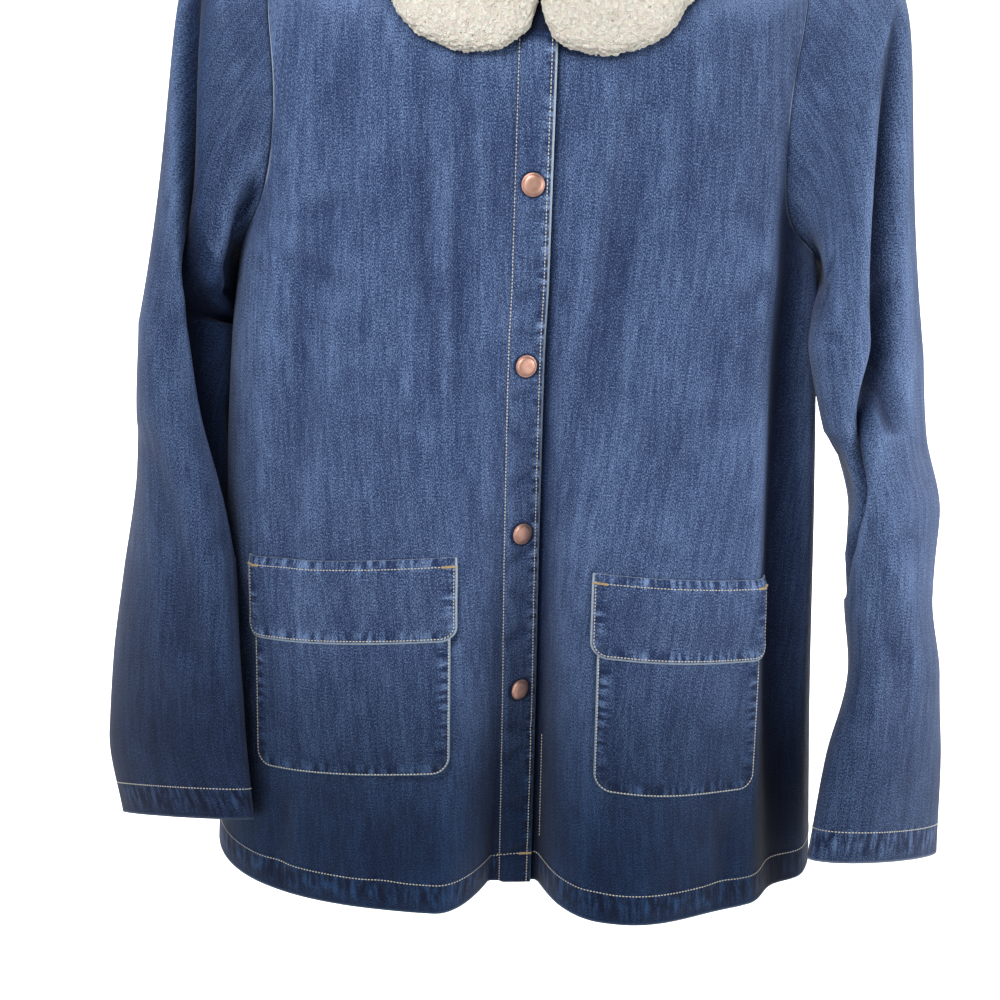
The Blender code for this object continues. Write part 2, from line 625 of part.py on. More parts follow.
def collar_height(place, along):
    """Clearance under the collar, which rides over the placket at the front and over the shoulder
    seams' ridges."""
    over_placket = (DENIM + LAY_GAP) * ease((STEP_DOWN_END - along) / STEP_DOWN)
    return COLLAR_CLEAR + over_placket + RIDGE_CLEAR * swell((place - 1.0) / RIDGE_REACH)


# Section of the collar, as a loop: part of the way from the neckline to the edge, and part of the
# fleece's depth above its underside.
LoopPoint = namedtuple("LoopPoint", "across depth")
COLLAR_LOOP = [
    LoopPoint(0.03, 0.00),
    LoopPoint(0.00, 0.45),
    LoopPoint(0.07, 0.90),
    LoopPoint(0.30, 1.00),
    LoopPoint(0.62, 1.00),
    LoopPoint(0.90, 0.88),
    LoopPoint(1.00, 0.45),
    LoopPoint(0.97, 0.00),
    LoopPoint(0.50, 0.00),
]


def make_collar():
    """The fleece collar: two round lobes that meet at the front, and a band round the neck."""
    rounds = [edge.round for edge in COLLAR_EDGE]
    half = [rounds[0] + (rounds[-1] - rounds[0]) * (index / COLLAR_STEPS) ** 1.3
            for index in range(COLLAR_STEPS + 1)]
    places = half + [4.0 - place for place in half[-2::-1]]
    mesh = bmesh.new()
    loops = []
    for place in places:
        folded = min(place, 4.0 - place)
        edge = smooth(folded, rounds, [row.level for row in COLLAR_EDGE])
        loop = []
        for point in COLLAR_LOOP:
            level = NECK_LEVEL + (edge - NECK_LEVEL) * point.across
            along = folded * quarter_length(level)
            push = collar_height(folded, along) + point.depth * FLEECE
            spot = lifted_point(place, level, push)
            spot[2] += COLLAR_STAND * (1.0 - ease(point.across / 0.4)) * point.depth
            loop.append(mesh.verts.new(spot))
        loops.append(loop)
    count = len(COLLAR_LOOP)
    for first, second in zip(loops, loops[1:]):
        for index in range(count):
            after = (index + 1) % count
            mesh.faces.new([first[index], first[after], second[after], second[index]])
    mesh.faces.new(loops[0][::-1])
    mesh.faces.new(loops[-1])
    bmesh.ops.triangulate(mesh, faces=mesh.faces[:])
    bmesh.ops.recalc_face_normals(mesh, faces=mesh.faces[:])
    add_object("collar", mesh, FLEECE_FINISH)


def oval_ring(oval, side):
    """Points round a sleeve's section, from the outer side over the front."""
    turn = math.radians(oval.turn)
    long_way = np.array([-side * math.cos(turn), -math.sin(turn), 0.0]) * oval.long
    thin_way = np.array([side * math.sin(turn), -math.cos(turn), 0.0]) * oval.thin
    middle = np.array([side * oval.out, oval.y, oval.z])
    ring = []
    for index in range(ARMHOLE_POINTS):
        angle = 2.0 * math.pi * index / ARMHOLE_POINTS - (math.pi - turn)
        point = middle + long_way * math.cos(angle) - thin_way * math.sin(angle)
        point[2] += oval.tilt * (oval.y - point[1])
        ring.append(point)
    return np.array(ring)


def armhole_ring(side):
    """Points round an armhole's edge, just inside it, from the shoulder over the front."""
    ring = []
    middle = 0.5 * (SHOULDER_LEVEL + UNDERARM_LEVEL)
    for index in range(ARMHOLE_POINTS):
        angle = 360.0 * index / ARMHOLE_POINTS
        inset, level = armhole_place(angle)
        level += ARMHOLE_GAP * (middle - level) / abs(SHOULDER_LEVEL - middle)
        at_back = angle > 180.0
        inset = max(inset - ARMHOLE_GAP / quarter_length(level, at_back), 0.0)
        ring.append(body_point(side * (1.0 + inset if at_back else 1.0 - inset), level))
    return np.array(ring)


def sleeve_grid(ovals, folds, head, side):
    """Points of a sleeve from its armhole to its cuff, with columns in order round the arm. The head
    swings out of the armhole on smooth curves that end on the first oval."""
    start = armhole_ring(side)
    end = oval_ring(ovals[0], side)
    around = np.radians(np.arange(ARMHOLE_POINTS) * 360.0 / ARMHOLE_POINTS)
    leave = np.zeros_like(start)
    top_share = 0.5 + 0.5 * np.cos(around)
    leave[:, 0] = side * (UNDERARM_SWING + (head - UNDERARM_SWING) * top_share)
    leave[:, 2] = HEAD_RISE * top_share
    arrive = np.zeros_like(start)
    arrive[:, 0] = side * HEAD_SPREAD * top_share
    arrive[:, 2] = -(UNDERARM_DROP + OUTER_DROP * top_share + TOP_DROP * top_share ** 3)
    rows = []
    for t in HEAD_ROWS:
        rows.append((2 * t ** 3 - 3 * t ** 2 + 1) * start + (t ** 3 - 2 * t ** 2 + t) * leave
                    + (3 * t ** 2 - 2 * t ** 3) * end + (t ** 3 - t ** 2) * arrive)
    drops = [-oval.z for oval in ovals]
    for drop in np.linspace(drops[0], drops[-1], ARM_ROWS + 1)[1:]:
        values = [smooth(drop, drops, [oval[field] for oval in ovals])
                  for field in range(1, len(Oval._fields))]
        rows.append(oval_ring(Oval(-drop, *values), side))
    grid = np.array(rows)
    normals = side * grid_normals(grid, wrap=True)
    middles = grid.mean(axis=1)
    run = np.concatenate([[0.0], np.cumsum(np.linalg.norm(np.diff(middles, axis=0), axis=1))])
    run /= run[-1]
    degrees = np.degrees(around)
    for fold in folds:
        for row, along in enumerate(run):
            t = (along - fold.run_top) / (fold.run_end - fold.run_top)
            if 0.0 < t < 1.0:
                place = fold.around_top + (fold.around_end - fold.around_top) * t
                strength = math.sin(math.pi * t) ** 0.6 * fold.depth
                for column, angle in enumerate(degrees):
                    away = (angle - place + 180.0) % 360.0 - 180.0
                    grid[row, column] -= normals[row, column] * strength * swell(away / fold.reach)
    return grid


def make_sleeve(label, ovals, folds, head, side):
    """A set-in sleeve with an open cuff, as a front half and a back half that leave a narrow slit
    between them, just in front of the arm's outer side and down its inner side."""
    grid = sleeve_grid(ovals, folds, head, side)
    inner = ARMHOLE_POINTS // 2
    back = np.concatenate([grid[:, inner:], grid[:, :2]], axis=1)
    for part, half in (("_front", grid[:, 1:inner + 1].copy()), ("_back", back)):
        for edge, beside in ((0, 1), (-1, -2)):
            way = half[:, beside] - half[:, edge]
            half[:, edge] += way * SLEEVE_SLIT / np.linalg.norm(way, axis=1)[:, None]
        sheet_object(label + part, half[:, ::int(side)])


def main():
    """Build every piece of the jacket."""
    remove_old_objects()
    add_collection()
    right = make_front("front_right", -1.0, RIGHT_POCKET, lambda along: 0.0)
    left = make_front("front_left", 1.0, LEFT_POCKET, underlap)
    sheet_object("back", back_grid(BACK_COLUMNS))
    make_sleeve("sleeve_right", RIGHT_SLEEVE, RIGHT_SLEEVE_FOLDS, RIGHT_HEAD, -1.0)
    make_sleeve("sleeve_left", LEFT_SLEEVE, LEFT_SLEEVE_FOLDS, LEFT_HEAD, 1.0)
    make_placket(right)
    make_pocket("right", -1.0, RIGHT_POCKET, right)
    make_pocket("left", 1.0, LEFT_POCKET, left)
    make_collar()


main()
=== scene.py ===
"""Denim jacket with a fleece collar: the looks of every piece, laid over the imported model.

Each piece of cloth is made again as a fine thin shell on the same surface as its solid, with its
creases, puckers, stitches and wear. Metres, +Z up, the front faces -Y, the wearer's left is +X.
"""

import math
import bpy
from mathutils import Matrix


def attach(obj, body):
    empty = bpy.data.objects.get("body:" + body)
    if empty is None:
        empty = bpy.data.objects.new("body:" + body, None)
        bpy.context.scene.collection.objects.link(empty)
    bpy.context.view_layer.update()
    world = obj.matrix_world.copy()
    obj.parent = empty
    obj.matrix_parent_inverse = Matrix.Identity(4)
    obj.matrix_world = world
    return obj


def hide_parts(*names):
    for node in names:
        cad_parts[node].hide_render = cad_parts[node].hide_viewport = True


bl_info = {
    "name": "Denim jacket",
    "version": (1, 0, 0),
    "blender": (4, 5, 0),
    "location": "View3D > Sidebar > Jacket",
    "description": "Makes a denim jacket with a fleece collar, snaps and topstitching",
    "category": "Object",
}

from collections import namedtuple

import bmesh
import bpy
import numpy as np
from mathutils import Matrix, Vector, noise

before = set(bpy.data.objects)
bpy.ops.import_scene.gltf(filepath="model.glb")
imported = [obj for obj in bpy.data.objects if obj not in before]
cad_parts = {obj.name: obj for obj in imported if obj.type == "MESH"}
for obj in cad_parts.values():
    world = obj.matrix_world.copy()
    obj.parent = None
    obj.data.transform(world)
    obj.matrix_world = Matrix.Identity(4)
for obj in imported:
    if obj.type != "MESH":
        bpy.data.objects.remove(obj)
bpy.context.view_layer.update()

# ---------------------------------------------------------------- the jacket's sizes, in metres
HEM_LEVEL = -0.711  # level of the hem
UNDERARM_LEVEL = -0.245  # level of the bottom of the armhole
SHOULDER_LEVEL = -0.100  # level of the section that meets the outer end of the shoulder seam
NECK_LEVEL = -0.060  # level of the neckline at the centre front
PLACKET_HALF = 0.0130  # half of the width of the placket
PLACKET_SEAMS = (-0.0117, 0.0094)  # where the placket's two rows of stitching lie
SNAP_PITCH = 0.120  # drop from one snap to the next
TOP_SNAP_LEVEL = -0.189
SNAP_COUNT = 4
SNAP_CLEAR = 0.0002  # clearance between a snap and the placket
SNAP_SIDES = 48
FLAP_TOP = -0.444  # levels of the pockets and their flaps
FLAP_END = -0.503
POCKET_TOP = -0.462
POCKET_END = -0.602
FLAP_OVERHANG = 0.004  # how far a flap reaches past its pocket at each side
FLAP_CORNER = 0.011  # radii of the lower corners
POCKET_CORNER = 0.013
LAYER = 0.0019  # rise of one layer of cloth with the clearance under it
ARMHOLE_FRONT = 0.27  # part of a quarter of the body that the armhole takes from the front
ARMHOLE_BACK = 0.25  # and from the back
STRAIGHT_BELOW = -0.444  # below this level the fronts' columns hang straight
SHARED_ABOVE = -0.290  # above it they close up towards the armhole
EVEN_PART = 0.78  # part of a quarter over which the columns above stay evenly spread
FLOOR_LEFT = 0.0160  # where the placket valley's floor ends on the wearer's left
RIGHT_SLOPE = 2.0  # how steeply the valley's two sides rise
LEFT_SLOPE = 2.4
UNDERLAP_REACH = 0.034  # distance from the centre front over which the left front bends in
SAG_FADE = 0.050  # distance past a pocket over which its pull on the weave fades out
SAG_LEVELS = [-0.700, -0.605, -0.430, -0.365]  # where that pull starts, holds and ends
PANEL_GAP = 0.0003  # what a panel leaves free at its side seam
SLEEVE_GAP = 0.0005  # what a sleeve's head leaves free in its armhole
RIGHT_HEAD = 0.26  # how far the top of each sleeve's head swings out before it drops
LEFT_HEAD = 0.30
UNDERARM_SWING = 0.030  # how far it swings out under the arm
HEAD_RISE = 0.045  # upward pull at the top of the armhole, where a sleeve's head leaves it
HEAD_SPREAD = 0.150  # outward pull at the outer side, where the head meets the arm
UNDERARM_DROP = 0.070  # downward pull under the arm, where the head meets the arm
OUTER_DROP = 0.130  # more downward pull towards the outer side
TOP_DROP = 0.500  # more again close to the outer side

# A small swell, groove or shade: how strong it is, where it starts and how far it takes.
Swell = namedtuple("Swell", "size start reach")

# The body's level sections: how far the side and the back rise above the front, the section's
# middle, half of its width, its depth to the front and the back, and how square its corners are.
Section = namedtuple("Section", "level side_rise back_rise centre half_width front back square")
BODY_SECTIONS = [Section(*row) for row in (
    (-0.060, 0.060, 0.048, 0.000, 0.072, 0.090, 0.052, 2.0),
    (-0.080, 0.065, 0.047, 0.000, 0.131, 0.096, 0.062, 2.0),
    (-0.100, 0.070, 0.046, 0.000, 0.190, 0.100, 0.070, 2.1),
    (-0.130, 0.054, 0.038, 0.000, 0.198, 0.102, 0.074, 2.4),
    (-0.170, 0.034, 0.025, 0.000, 0.200, 0.102, 0.077, 2.6),
    (-0.210, 0.015, 0.012, 0.000, 0.203, 0.102, 0.079, 2.7),
    (-0.250, 0.004, 0.003, 0.000, 0.212, 0.102, 0.079, 2.8),
    (-0.300, 0.000, 0.000, -0.001, 0.218, 0.102, 0.078, 2.8),
    (-0.430, 0.000, 0.000, 0.000, 0.227, 0.102, 0.077, 2.8),
    (-0.550, 0.000, 0.000, 0.002, 0.233, 0.102, 0.077, 2.8),
    (-0.711, 0.000, 0.000, 0.004, 0.245, 0.102, 0.080, 2.8),
)]

# The placket lies in a valley: its depth, how its floor tilts and how far each side reaches.
Valley = namedtuple("Valley", "level depth tilt floor_right reach_right reach_left")
PLACKET_VALLEY = [Valley(*row) for row in (
    (-0.060, 0.001, 0.00, 0.0130, 0.030, 0.030),
    (-0.160, 0.003, 0.00, 0.0130, 0.034, 0.034),
    (-0.250, 0.006, 0.20, 0.0130, 0.036, 0.036),
    (-0.310, 0.011, 0.40, 0.0130, 0.038, 0.040),
    (-0.370, 0.018, 0.50, 0.0132, 0.040, 0.042),
    (-0.430, 0.027, 0.60, 0.0135, 0.042, 0.045),
    (-0.500, 0.036, 0.70, 0.0140, 0.043, 0.048),
    (-0.550, 0.041, 0.78, 0.0140, 0.042, 0.049),
    (-0.620, 0.045, 0.55, 0.0160, 0.041, 0.050),
    (-0.711, 0.047, 0.05, 0.0200, 0.040, 0.050),
)]

# Troughs (depth above zero) and swells (below zero) of the body, as in the solids.
Fold = namedtuple("Fold", "name line top end place_top place_mid place_end "
                          "reach_right reach_left depth_top depth_mid depth_end")
BODY_FOLDS = [Fold(*row) for row in (
    ("left chest trough", "front", -0.098, -0.430, 0.075, 0.052, 0.030,
     0.020, 0.026, 0.000, 0.007, 0.000),
    ("right chest trough", "front", -0.098, -0.420, -0.048, -0.046, -0.040,
     0.018, 0.016, 0.000, 0.005, 0.000),
    ("right outer trough", "front", -0.098, -0.360, -0.075, -0.070, -0.062,
     0.022, 0.014, 0.000, 0.005, 0.000),
    ("right armhole trough", "front", -0.110, -0.490, -0.125, -0.155, -0.178,
     0.030, 0.026, 0.000, 0.006, 0.000),
    ("left side trough", "front", -0.110, -0.711, 0.196, 0.202, 0.215,
     0.034, 0.036, 0.000, 0.019, 0.010),
    ("left hem swell", "front", -0.400, -0.711, 0.100, 0.098, 0.092,
     0.062, 0.070, 0.000, -0.005, -0.009),
    ("back middle trough", "back", -0.130, -0.711, 0.010, -0.012, -0.020,
     0.050, 0.060, 0.000, 0.008, 0.014),
    ("back left trough", "back", -0.180, -0.711, 0.110, 0.120, 0.128,
     0.045, 0.040, 0.000, 0.008, 0.013),
    ("back right trough", "back", -0.150, -0.711, -0.105, -0.120, -0.138,
     0.038, 0.050, 0.000, 0.006, 0.012),
)]

# Small creases, pressed in along a line from one spot to another. On the body a spot is the distance
# from the middle line towards the wearer's left and the level. On a sleeve it is the angle round
# the arm in degrees and the part of the way down it.
Crease = namedtuple("Crease", "across_from down_from across_to down_to width depth")
FRONT_CREASES = [Crease(*row) for row in (
    (-0.172, -0.225, -0.120, -0.205, 0.0070, 0.0022),
    (-0.176, -0.246, -0.112, -0.262, 0.0080, 0.0020),
    (-0.180, -0.275, -0.150, -0.320, 0.0080, 0.0018),
    (-0.100, -0.110, -0.090, -0.190, 0.0060, 0.0012),
    (-0.128, -0.130, -0.116, -0.260, 0.0070, 0.0012),
    (-0.030, -0.120, -0.024, -0.210, 0.0045, 0.0010),
    (-0.060, -0.250, -0.055, -0.370, 0.0060, 0.0013),
    (-0.092, -0.330, -0.098, -0.420, 0.0070, 0.0012),
    (-0.130, -0.360, -0.140, -0.440, 0.0080, 0.0014),
    (-0.034, -0.390, -0.038, -0.470, 0.0050, 0.0014),
    (0.034, -0.110, 0.030, -0.230, 0.0050, 0.0011),
    (0.098, -0.115, 0.104, -0.210, 0.0070, 0.0013),
    (0.066, -0.210, 0.058, -0.330, 0.0060, 0.0012),
    (0.036, -0.330, 0.030, -0.430, 0.0050, 0.0013),
    (0.092, -0.300, 0.084, -0.410, 0.0070, 0.0013),
    (0.124, -0.250, 0.132, -0.380, 0.0080, 0.0014),
    (0.168, -0.222, 0.128, -0.200, 0.0070, 0.0020),
    (0.172, -0.246, 0.140, -0.270, 0.0080, 0.0020),
    (0.078, -0.420, 0.098, -0.440, 0.0060, 0.0012),
    (-0.212, -0.470, -0.206, -0.560, 0.0080, 0.0022),
    (-0.176, -0.620, -0.186, -0.711, 0.0100, 0.0026),
    (-0.100, -0.630, -0.096, -0.711, 0.0120, 0.0022),
    (0.152, -0.625, 0.160, -0.711, 0.0110, 0.0024),
    (0.062, -0.640, 0.058, -0.711, 0.0090, 0.0018),
)]
PLACKET_CREASES = [Crease(*row) for row in (
    (-0.012, -0.165, 0.006, -0.158, 0.0040, 0.0007),
    (-0.006, -0.212, 0.011, -0.206, 0.0035, 0.0007),
    (-0.012, -0.232, 0.004, -0.246, 0.0040, 0.0007),
    (-0.010, -0.266, 0.010, -0.256, 0.0040, 0.0008),
    (-0.012, -0.284, 0.008, -0.292, 0.0035, 0.0007),
    (-0.011, -0.334, 0.009, -0.326, 0.0040, 0.0008),
    (-0.012, -0.352, 0.006, -0.366, 0.0040, 0.0007),
    (-0.008, -0.395, 0.011, -0.384, 0.0040, 0.0008),
    (-0.012, -0.452, 0.008, -0.443, 0.0040, 0.0009),
    (-0.010, -0.468, 0.010, -0.484, 0.0045, 0.0010),
    (-0.012, -0.512, 0.009, -0.501, 0.0045, 0.0010),
    (-0.010, -0.574, 0.011, -0.588, 0.0045, 0.0010),
    (-0.012, -0.606, 0.008, -0.597, 0.0045, 0.0009),
    (-0.010, -0.640, 0.010, -0.652, 0.0050, 0.0009),
    (-0.012, -0.686, 0.012, -0.683, 0.0040, 0.0008),
)]
BACK_CREASES = [Crease(*row) for row in (
    (0.150, -0.180, 0.105, -0.160, 0.0080, 0.0020),
    (0.168, -0.225, 0.110, -0.235, 0.0090, 0.0022),
    (0.180, -0.260, 0.150, -0.330, 0.0090, 0.0020),
    (-0.148, -0.175, -0.100, -0.168, 0.0080, 0.0020),
    (-0.170, -0.230, -0.118, -0.215, 0.0090, 0.0022),
    (-0.182, -0.262, -0.140, -0.320, 0.0090, 0.0020),
    (0.060, -0.110, 0.048, -0.260, 0.0100, 0.0016),
    (-0.055, -0.120, -0.062, -0.300, 0.0110, 0.0016),
    (0.004, -0.080, 0.000, -0.180, 0.0080, 0.0012),
    (0.072, -0.360, 0.066, -0.560, 0.0120, 0.0020),
    (-0.075, -0.400, -0.070, -0.620, 0.0120, 0.0020),
    (0.176, -0.500, 0.184, -0.700, 0.0110, 0.0022),
    (-0.182, -0.520, -0.190, -0.711, 0.0110, 0.0022),
)]

# Where the pockets lie: near and far are distances from the centre front, lift is how far the near
# side hangs above its level and droop is how much lower than it the far side hangs.
PocketPlace = namedtuple("PocketPlace", "near far lift droop")
RIGHT_POCKET = PocketPlace(0.0485, 0.1990, 0.0050, 0.0150)
LEFT_POCKET = PocketPlace(0.0545, 0.1770, -0.0035, 0.0090)
POCKET_MARGIN = 0.006

# A sleeve's sections: where the middle lies, half of the long and thin ways across, the degrees by
# which the long way turns from the side to the front, and how steeply the section leans.
Oval = namedtuple("Oval", "z out y long thin turn tilt")
RIGHT_SLEEVE = [Oval(*row) for row in (
    (-0.300, 0.2540, -0.016, 0.074, 0.0310, 88.0, 0.16),
    (-0.360, 0.2570, -0.034, 0.071, 0.0310, 80.0, 0.18),
    (-0.420, 0.2550, -0.053, 0.068, 0.0310, 64.0, 0.22),
    (-0.480, 0.2556, -0.071, 0.067, 0.0290, 48.0, 0.30),
    (-0.540, 0.2570, -0.083, 0.069, 0.0280, 40.0, 0.38),
    (-0.600, 0.2565, -0.090, 0.069, 0.0280, 33.0, 0.45),
    (-0.661, 0.2470, -0.104, 0.062, 0.0250, 28.0, 0.52),
)]
LEFT_SLEEVE = [Oval(*row) for row in (
    (-0.300, 0.2520, -0.048, 0.069, 0.0290, 53.0, 0.16),
    (-0.360, 0.2630, -0.048, 0.069, 0.0300, 57.0, 0.18),
    (-0.420, 0.2780, -0.056, 0.070, 0.0300, 57.0, 0.22),
    (-0.480, 0.2785, -0.066, 0.067, 0.0310, 65.0, 0.28),
    (-0.540, 0.2860, -0.078, 0.061, 0.0310, 58.0, 0.35),
    (-0.600, 0.2815, -0.092, 0.063, 0.0320, 42.0, 0.42),
    (-0.674, 0.2765, -0.109, 0.066, 0.0290, 33.0, 0.42),
)]
SleeveFold = namedtuple("SleeveFold", "name run_top run_end around_top around_end reach depth")
RIGHT_SLEEVE_FOLDS = [SleeveFold(*row) for row in (
    ("head valley", 0.04, 0.32, 14.0, 168.0, 34.0, 0.021),
    ("inner valley", 0.14, 0.64, 109.0, 191.0, 24.0, 0.018),
    ("underarm finger", 0.00, 0.27, 106.0, 164.0, 19.0, -0.007),
    ("inner side", 0.24, 0.86, 190.0, 190.0, 45.0, -0.0045),
    ("underarm swell", 0.02, 0.44, 196.0, 186.0, 52.0, -0.0080),
    ("elbow crease", 0.45, 0.80, 60.0, 100.0, 28.0, 0.004),
    ("back crease", 0.20, 0.70, 280.0, 310.0, 36.0, 0.007),
)]
LEFT_SLEEVE_FOLDS = [SleeveFold(*row) for row in (
    ("front valley", 0.08, 0.44, 38.0, 76.0, 26.0, 0.021),
    ("elbow valley", 0.28, 0.66, 50.0, 190.0, 22.0, 0.018),
    ("inner side", 0.10, 0.47, 180.0, 178.0, 52.0, -0.0085),
    ("elbow corner", 0.44, 0.60, 165.0, 165.0, 42.0, 0.007),
    ("elbow crease", 0.50, 0.85, 120.0, 80.0, 30.0, 0.004),
    ("back crease", 0.15, 0.75, 270.0, 300.0, 36.0, 0.008),
)]
RIGHT_CREASES = [Crease(*row) for row in (
    (117.0, 0.004, 142.0, 0.060, 0.0050, 0.0045),
    (150.0, 0.10, 118.0, 0.19, 0.0060, 0.0015),
    (172.0, 0.16, 135.0, 0.24, 0.0065, 0.0030),
    (60.0, 0.24, 84.0, 0.34, 0.0070, 0.0016),
    (100.0, 0.52, 150.0, 0.56, 0.0080, 0.0018),
    (110.0, 0.64, 160.0, 0.60, 0.0080, 0.0016),
    (20.0, 0.46, 60.0, 0.52, 0.0090, 0.0014),
    (70.0, 0.74, 110.0, 0.78, 0.0080, 0.0014),
    (250.0, 0.30, 300.0, 0.40, 0.0090, 0.0022),
    (230.0, 0.45, 290.0, 0.52, 0.0090, 0.0022),
    (250.0, 0.62, 310.0, 0.58, 0.0090, 0.0020),
    (330.0, 0.12, 300.0, 0.24, 0.0090, 0.0018),
)]
LEFT_CREASES = [Crease(*row) for row in (
    (150.0, 0.13, 110.0, 0.145, 0.0045, 0.0034),
    (165.0, 0.19, 122.0, 0.155, 0.0060, 0.0028),
    (150.0, 0.26, 118.0, 0.33, 0.0080, 0.0020),
    (95.0, 0.47, 130.0, 0.53, 0.0080, 0.0018),
    (60.0, 0.56, 100.0, 0.60, 0.0080, 0.0016),
    (20.0, 0.44, 50.0, 0.52, 0.0090, 0.0014),
    (80.0, 0.74, 120.0, 0.70, 0.0080, 0.0014),
    (250.0, 0.28, 305.0, 0.38, 0.0090, 0.0022),
    (235.0, 0.46, 290.0, 0.50, 0.0090, 0.0022),
    (255.0, 0.63, 315.0, 0.60, 0.0090, 0.0020),
    (335.0, 0.14, 300.0, 0.26, 0.0090, 0.0018),
)]

# Painted shade darkens the denim in deep folds and down the sleeves, and it runs from 0 to 2.
# A sleeve has its painted shade at parts of the way down it, what a deep fold's floor adds, and how
# much wider than the fold that darkness is on one side.
SHADED_FOLDS = ["left side trough"]
FULL_SHADE_DEPTH = 0.017  # depth of a fold whose floor gets the full painted shade
SleeveShading = namedtuple("SleeveShading", "downs shades floor spread")
RIGHT_SLEEVE_SHADING = SleeveShading((0.0, 0.2, 0.4, 0.6, 0.9), (0.35, 0.38, 0.45, 0.58, 0.88), 1.3, 1.8)
LEFT_SLEEVE_SHADING = SleeveShading((0.0, 0.3, 0.6, 0.9), (0.12, 0.10, 0.20, 0.38), 0.85, 1.0)

# The collar's free edge. round is 0 at the centre front, 1 at the side and 2 at the centre back.
CollarEdge = namedtuple("CollarEdge", "round level")
COLLAR_EDGE = [CollarEdge(*row) for row in (
    (0.008, -0.078),
    (0.030, -0.094),
    (0.080, -0.104),
    (0.135, -0.109),
    (0.200, -0.111),
    (0.330, -0.106),
    (0.430, -0.093),
    (0.650, -0.084),
    (1.000, -0.083),
    (1.350, -0.096),
    (1.700, -0.109),
    (1.900, -0.112),
    (2.000, -0.112),
)]

# A section of the collar: part of the way from the neckline to the free edge, and of the pile's depth.
LoopPoint = namedtuple("LoopPoint", "across depth")
COLLAR_LOOP = [LoopPoint(*row) for row in (
    (0.03, 0.00),
    (0.00, 0.45),
    (0.07, 0.90),
    (0.30, 1.00),
    (0.62, 1.00),
    (0.90, 0.88),
    (1.00, 0.45),
    (0.97, 0.00),
    (0.50, 0.00),
)]

# Half of a snap cap's section, both ways in parts of its rim's radius.
ProfilePoint = namedtuple("ProfilePoint", "radius height")
CAP_PROFILE = [ProfilePoint(*row) for row in (
    (0.00, 0.300),
    (0.20, 0.297),
    (0.42, 0.288),
    (0.62, 0.266),
    (0.76, 0.215),
    (0.84, 0.140),
    (0.87, 0.085),
    (0.88, 0.060),
    (0.93, 0.070),
    (0.98, 0.055),
    (1.00, 0.025),
    (0.98, 0.000),
    (0.00, 0.000),
)]


# ---------------------------------------------------------------- curves and bumps
def smooth(value, knots, heights):
    """Read a smooth curve through the knots, without overshoot, at one value."""
    knots = np.asarray(knots, float)
    heights = np.asarray(heights, float)
    steps = np.diff(knots)
    slopes = np.diff(heights) / steps
    inner = np.where(slopes[:-1] * slopes[1:] > 0.0,
                     2.0 * slopes[:-1] * slopes[1:] / (slopes[:-1] + slopes[1:] + 1e-30), 0.0)
    tangents = np.concatenate([slopes[:1], inner, slopes[-1:]])
    span = int(np.clip(np.searchsorted(knots, value) - 1, 0, len(steps) - 1))
    t = float(np.clip((value - knots[span]) / steps[span], 0.0, 1.0))
    rise = heights[span + 1] - heights[span]
    bend = (tangents[span] * (1.0 - t) - tangents[span + 1] * t) * steps[span] + rise * (2.0 * t - 1.0)
    return heights[span] + t * rise + t * (1.0 - t) * bend


def read_table(table, level):
    """A row of a table at any level, read from smooth curves through its columns."""
    drops = [-row.level for row in table]
    values = [smooth(-level, drops, [row[field] for row in table]) for field in range(1, len(table[0]))]
    return type(table[0])(level, *values)


def three_point(t, first, middle, last):
    """Read the parabola through three values at 0, 0.5 and 1."""
    return (first * (1.0 - t) * (1.0 - 2.0 * t) + middle * 4.0 * t * (1.0 - t)
            + last * t * (2.0 * t - 1.0))


def swell(distance):
    """Rounded bumps: 1 at no distance, falling to 0 at a distance of 1."""
    return 0.5 + 0.5 * np.cos(np.pi * np.clip(np.abs(distance), 0.0, 1.0))


def ease(t):
    """Go smoothly from 0 to 1 as t does."""
    t = np.clip(t, 0.0, 1.0)
    return t * t * (3.0 - 2.0 * t)


def crease_depth(creases, across, down, scale=1.0):
    """How deep the creases press in at each point. scale turns across into metres."""
    depth = np.zeros_like(across)
    for crease in creases:
        start = np.array([crease.across_from * scale, crease.down_from])
        way = np.array([crease.across_to * scale, crease.down_to]) - start
        length = math.hypot(*way)
        x = across * scale - start[0]
        y = down - start[1]
        along = (x * way[0] + y * way[1]) / length ** 2
        beside = (x * way[1] - y * way[0]) / length
        taper = ease(along / 0.35 + 0.15) * ease((1.0 - along) / 0.35 + 0.15)
        depth += crease.depth * taper * np.exp(-(beside / crease.width) ** 2)
    return depth


# ---------------------------------------------------------------- the body's surface
LEVEL_STEPS = 330  # rungs of the ladder of levels
FRACTION_STEPS = 256  # steps of a quarter of a section
FINE_STEPS = 400  # points that a quarter is first drawn with
BESIDE = 0.006  # part of a quarter to each side over which its direction is read


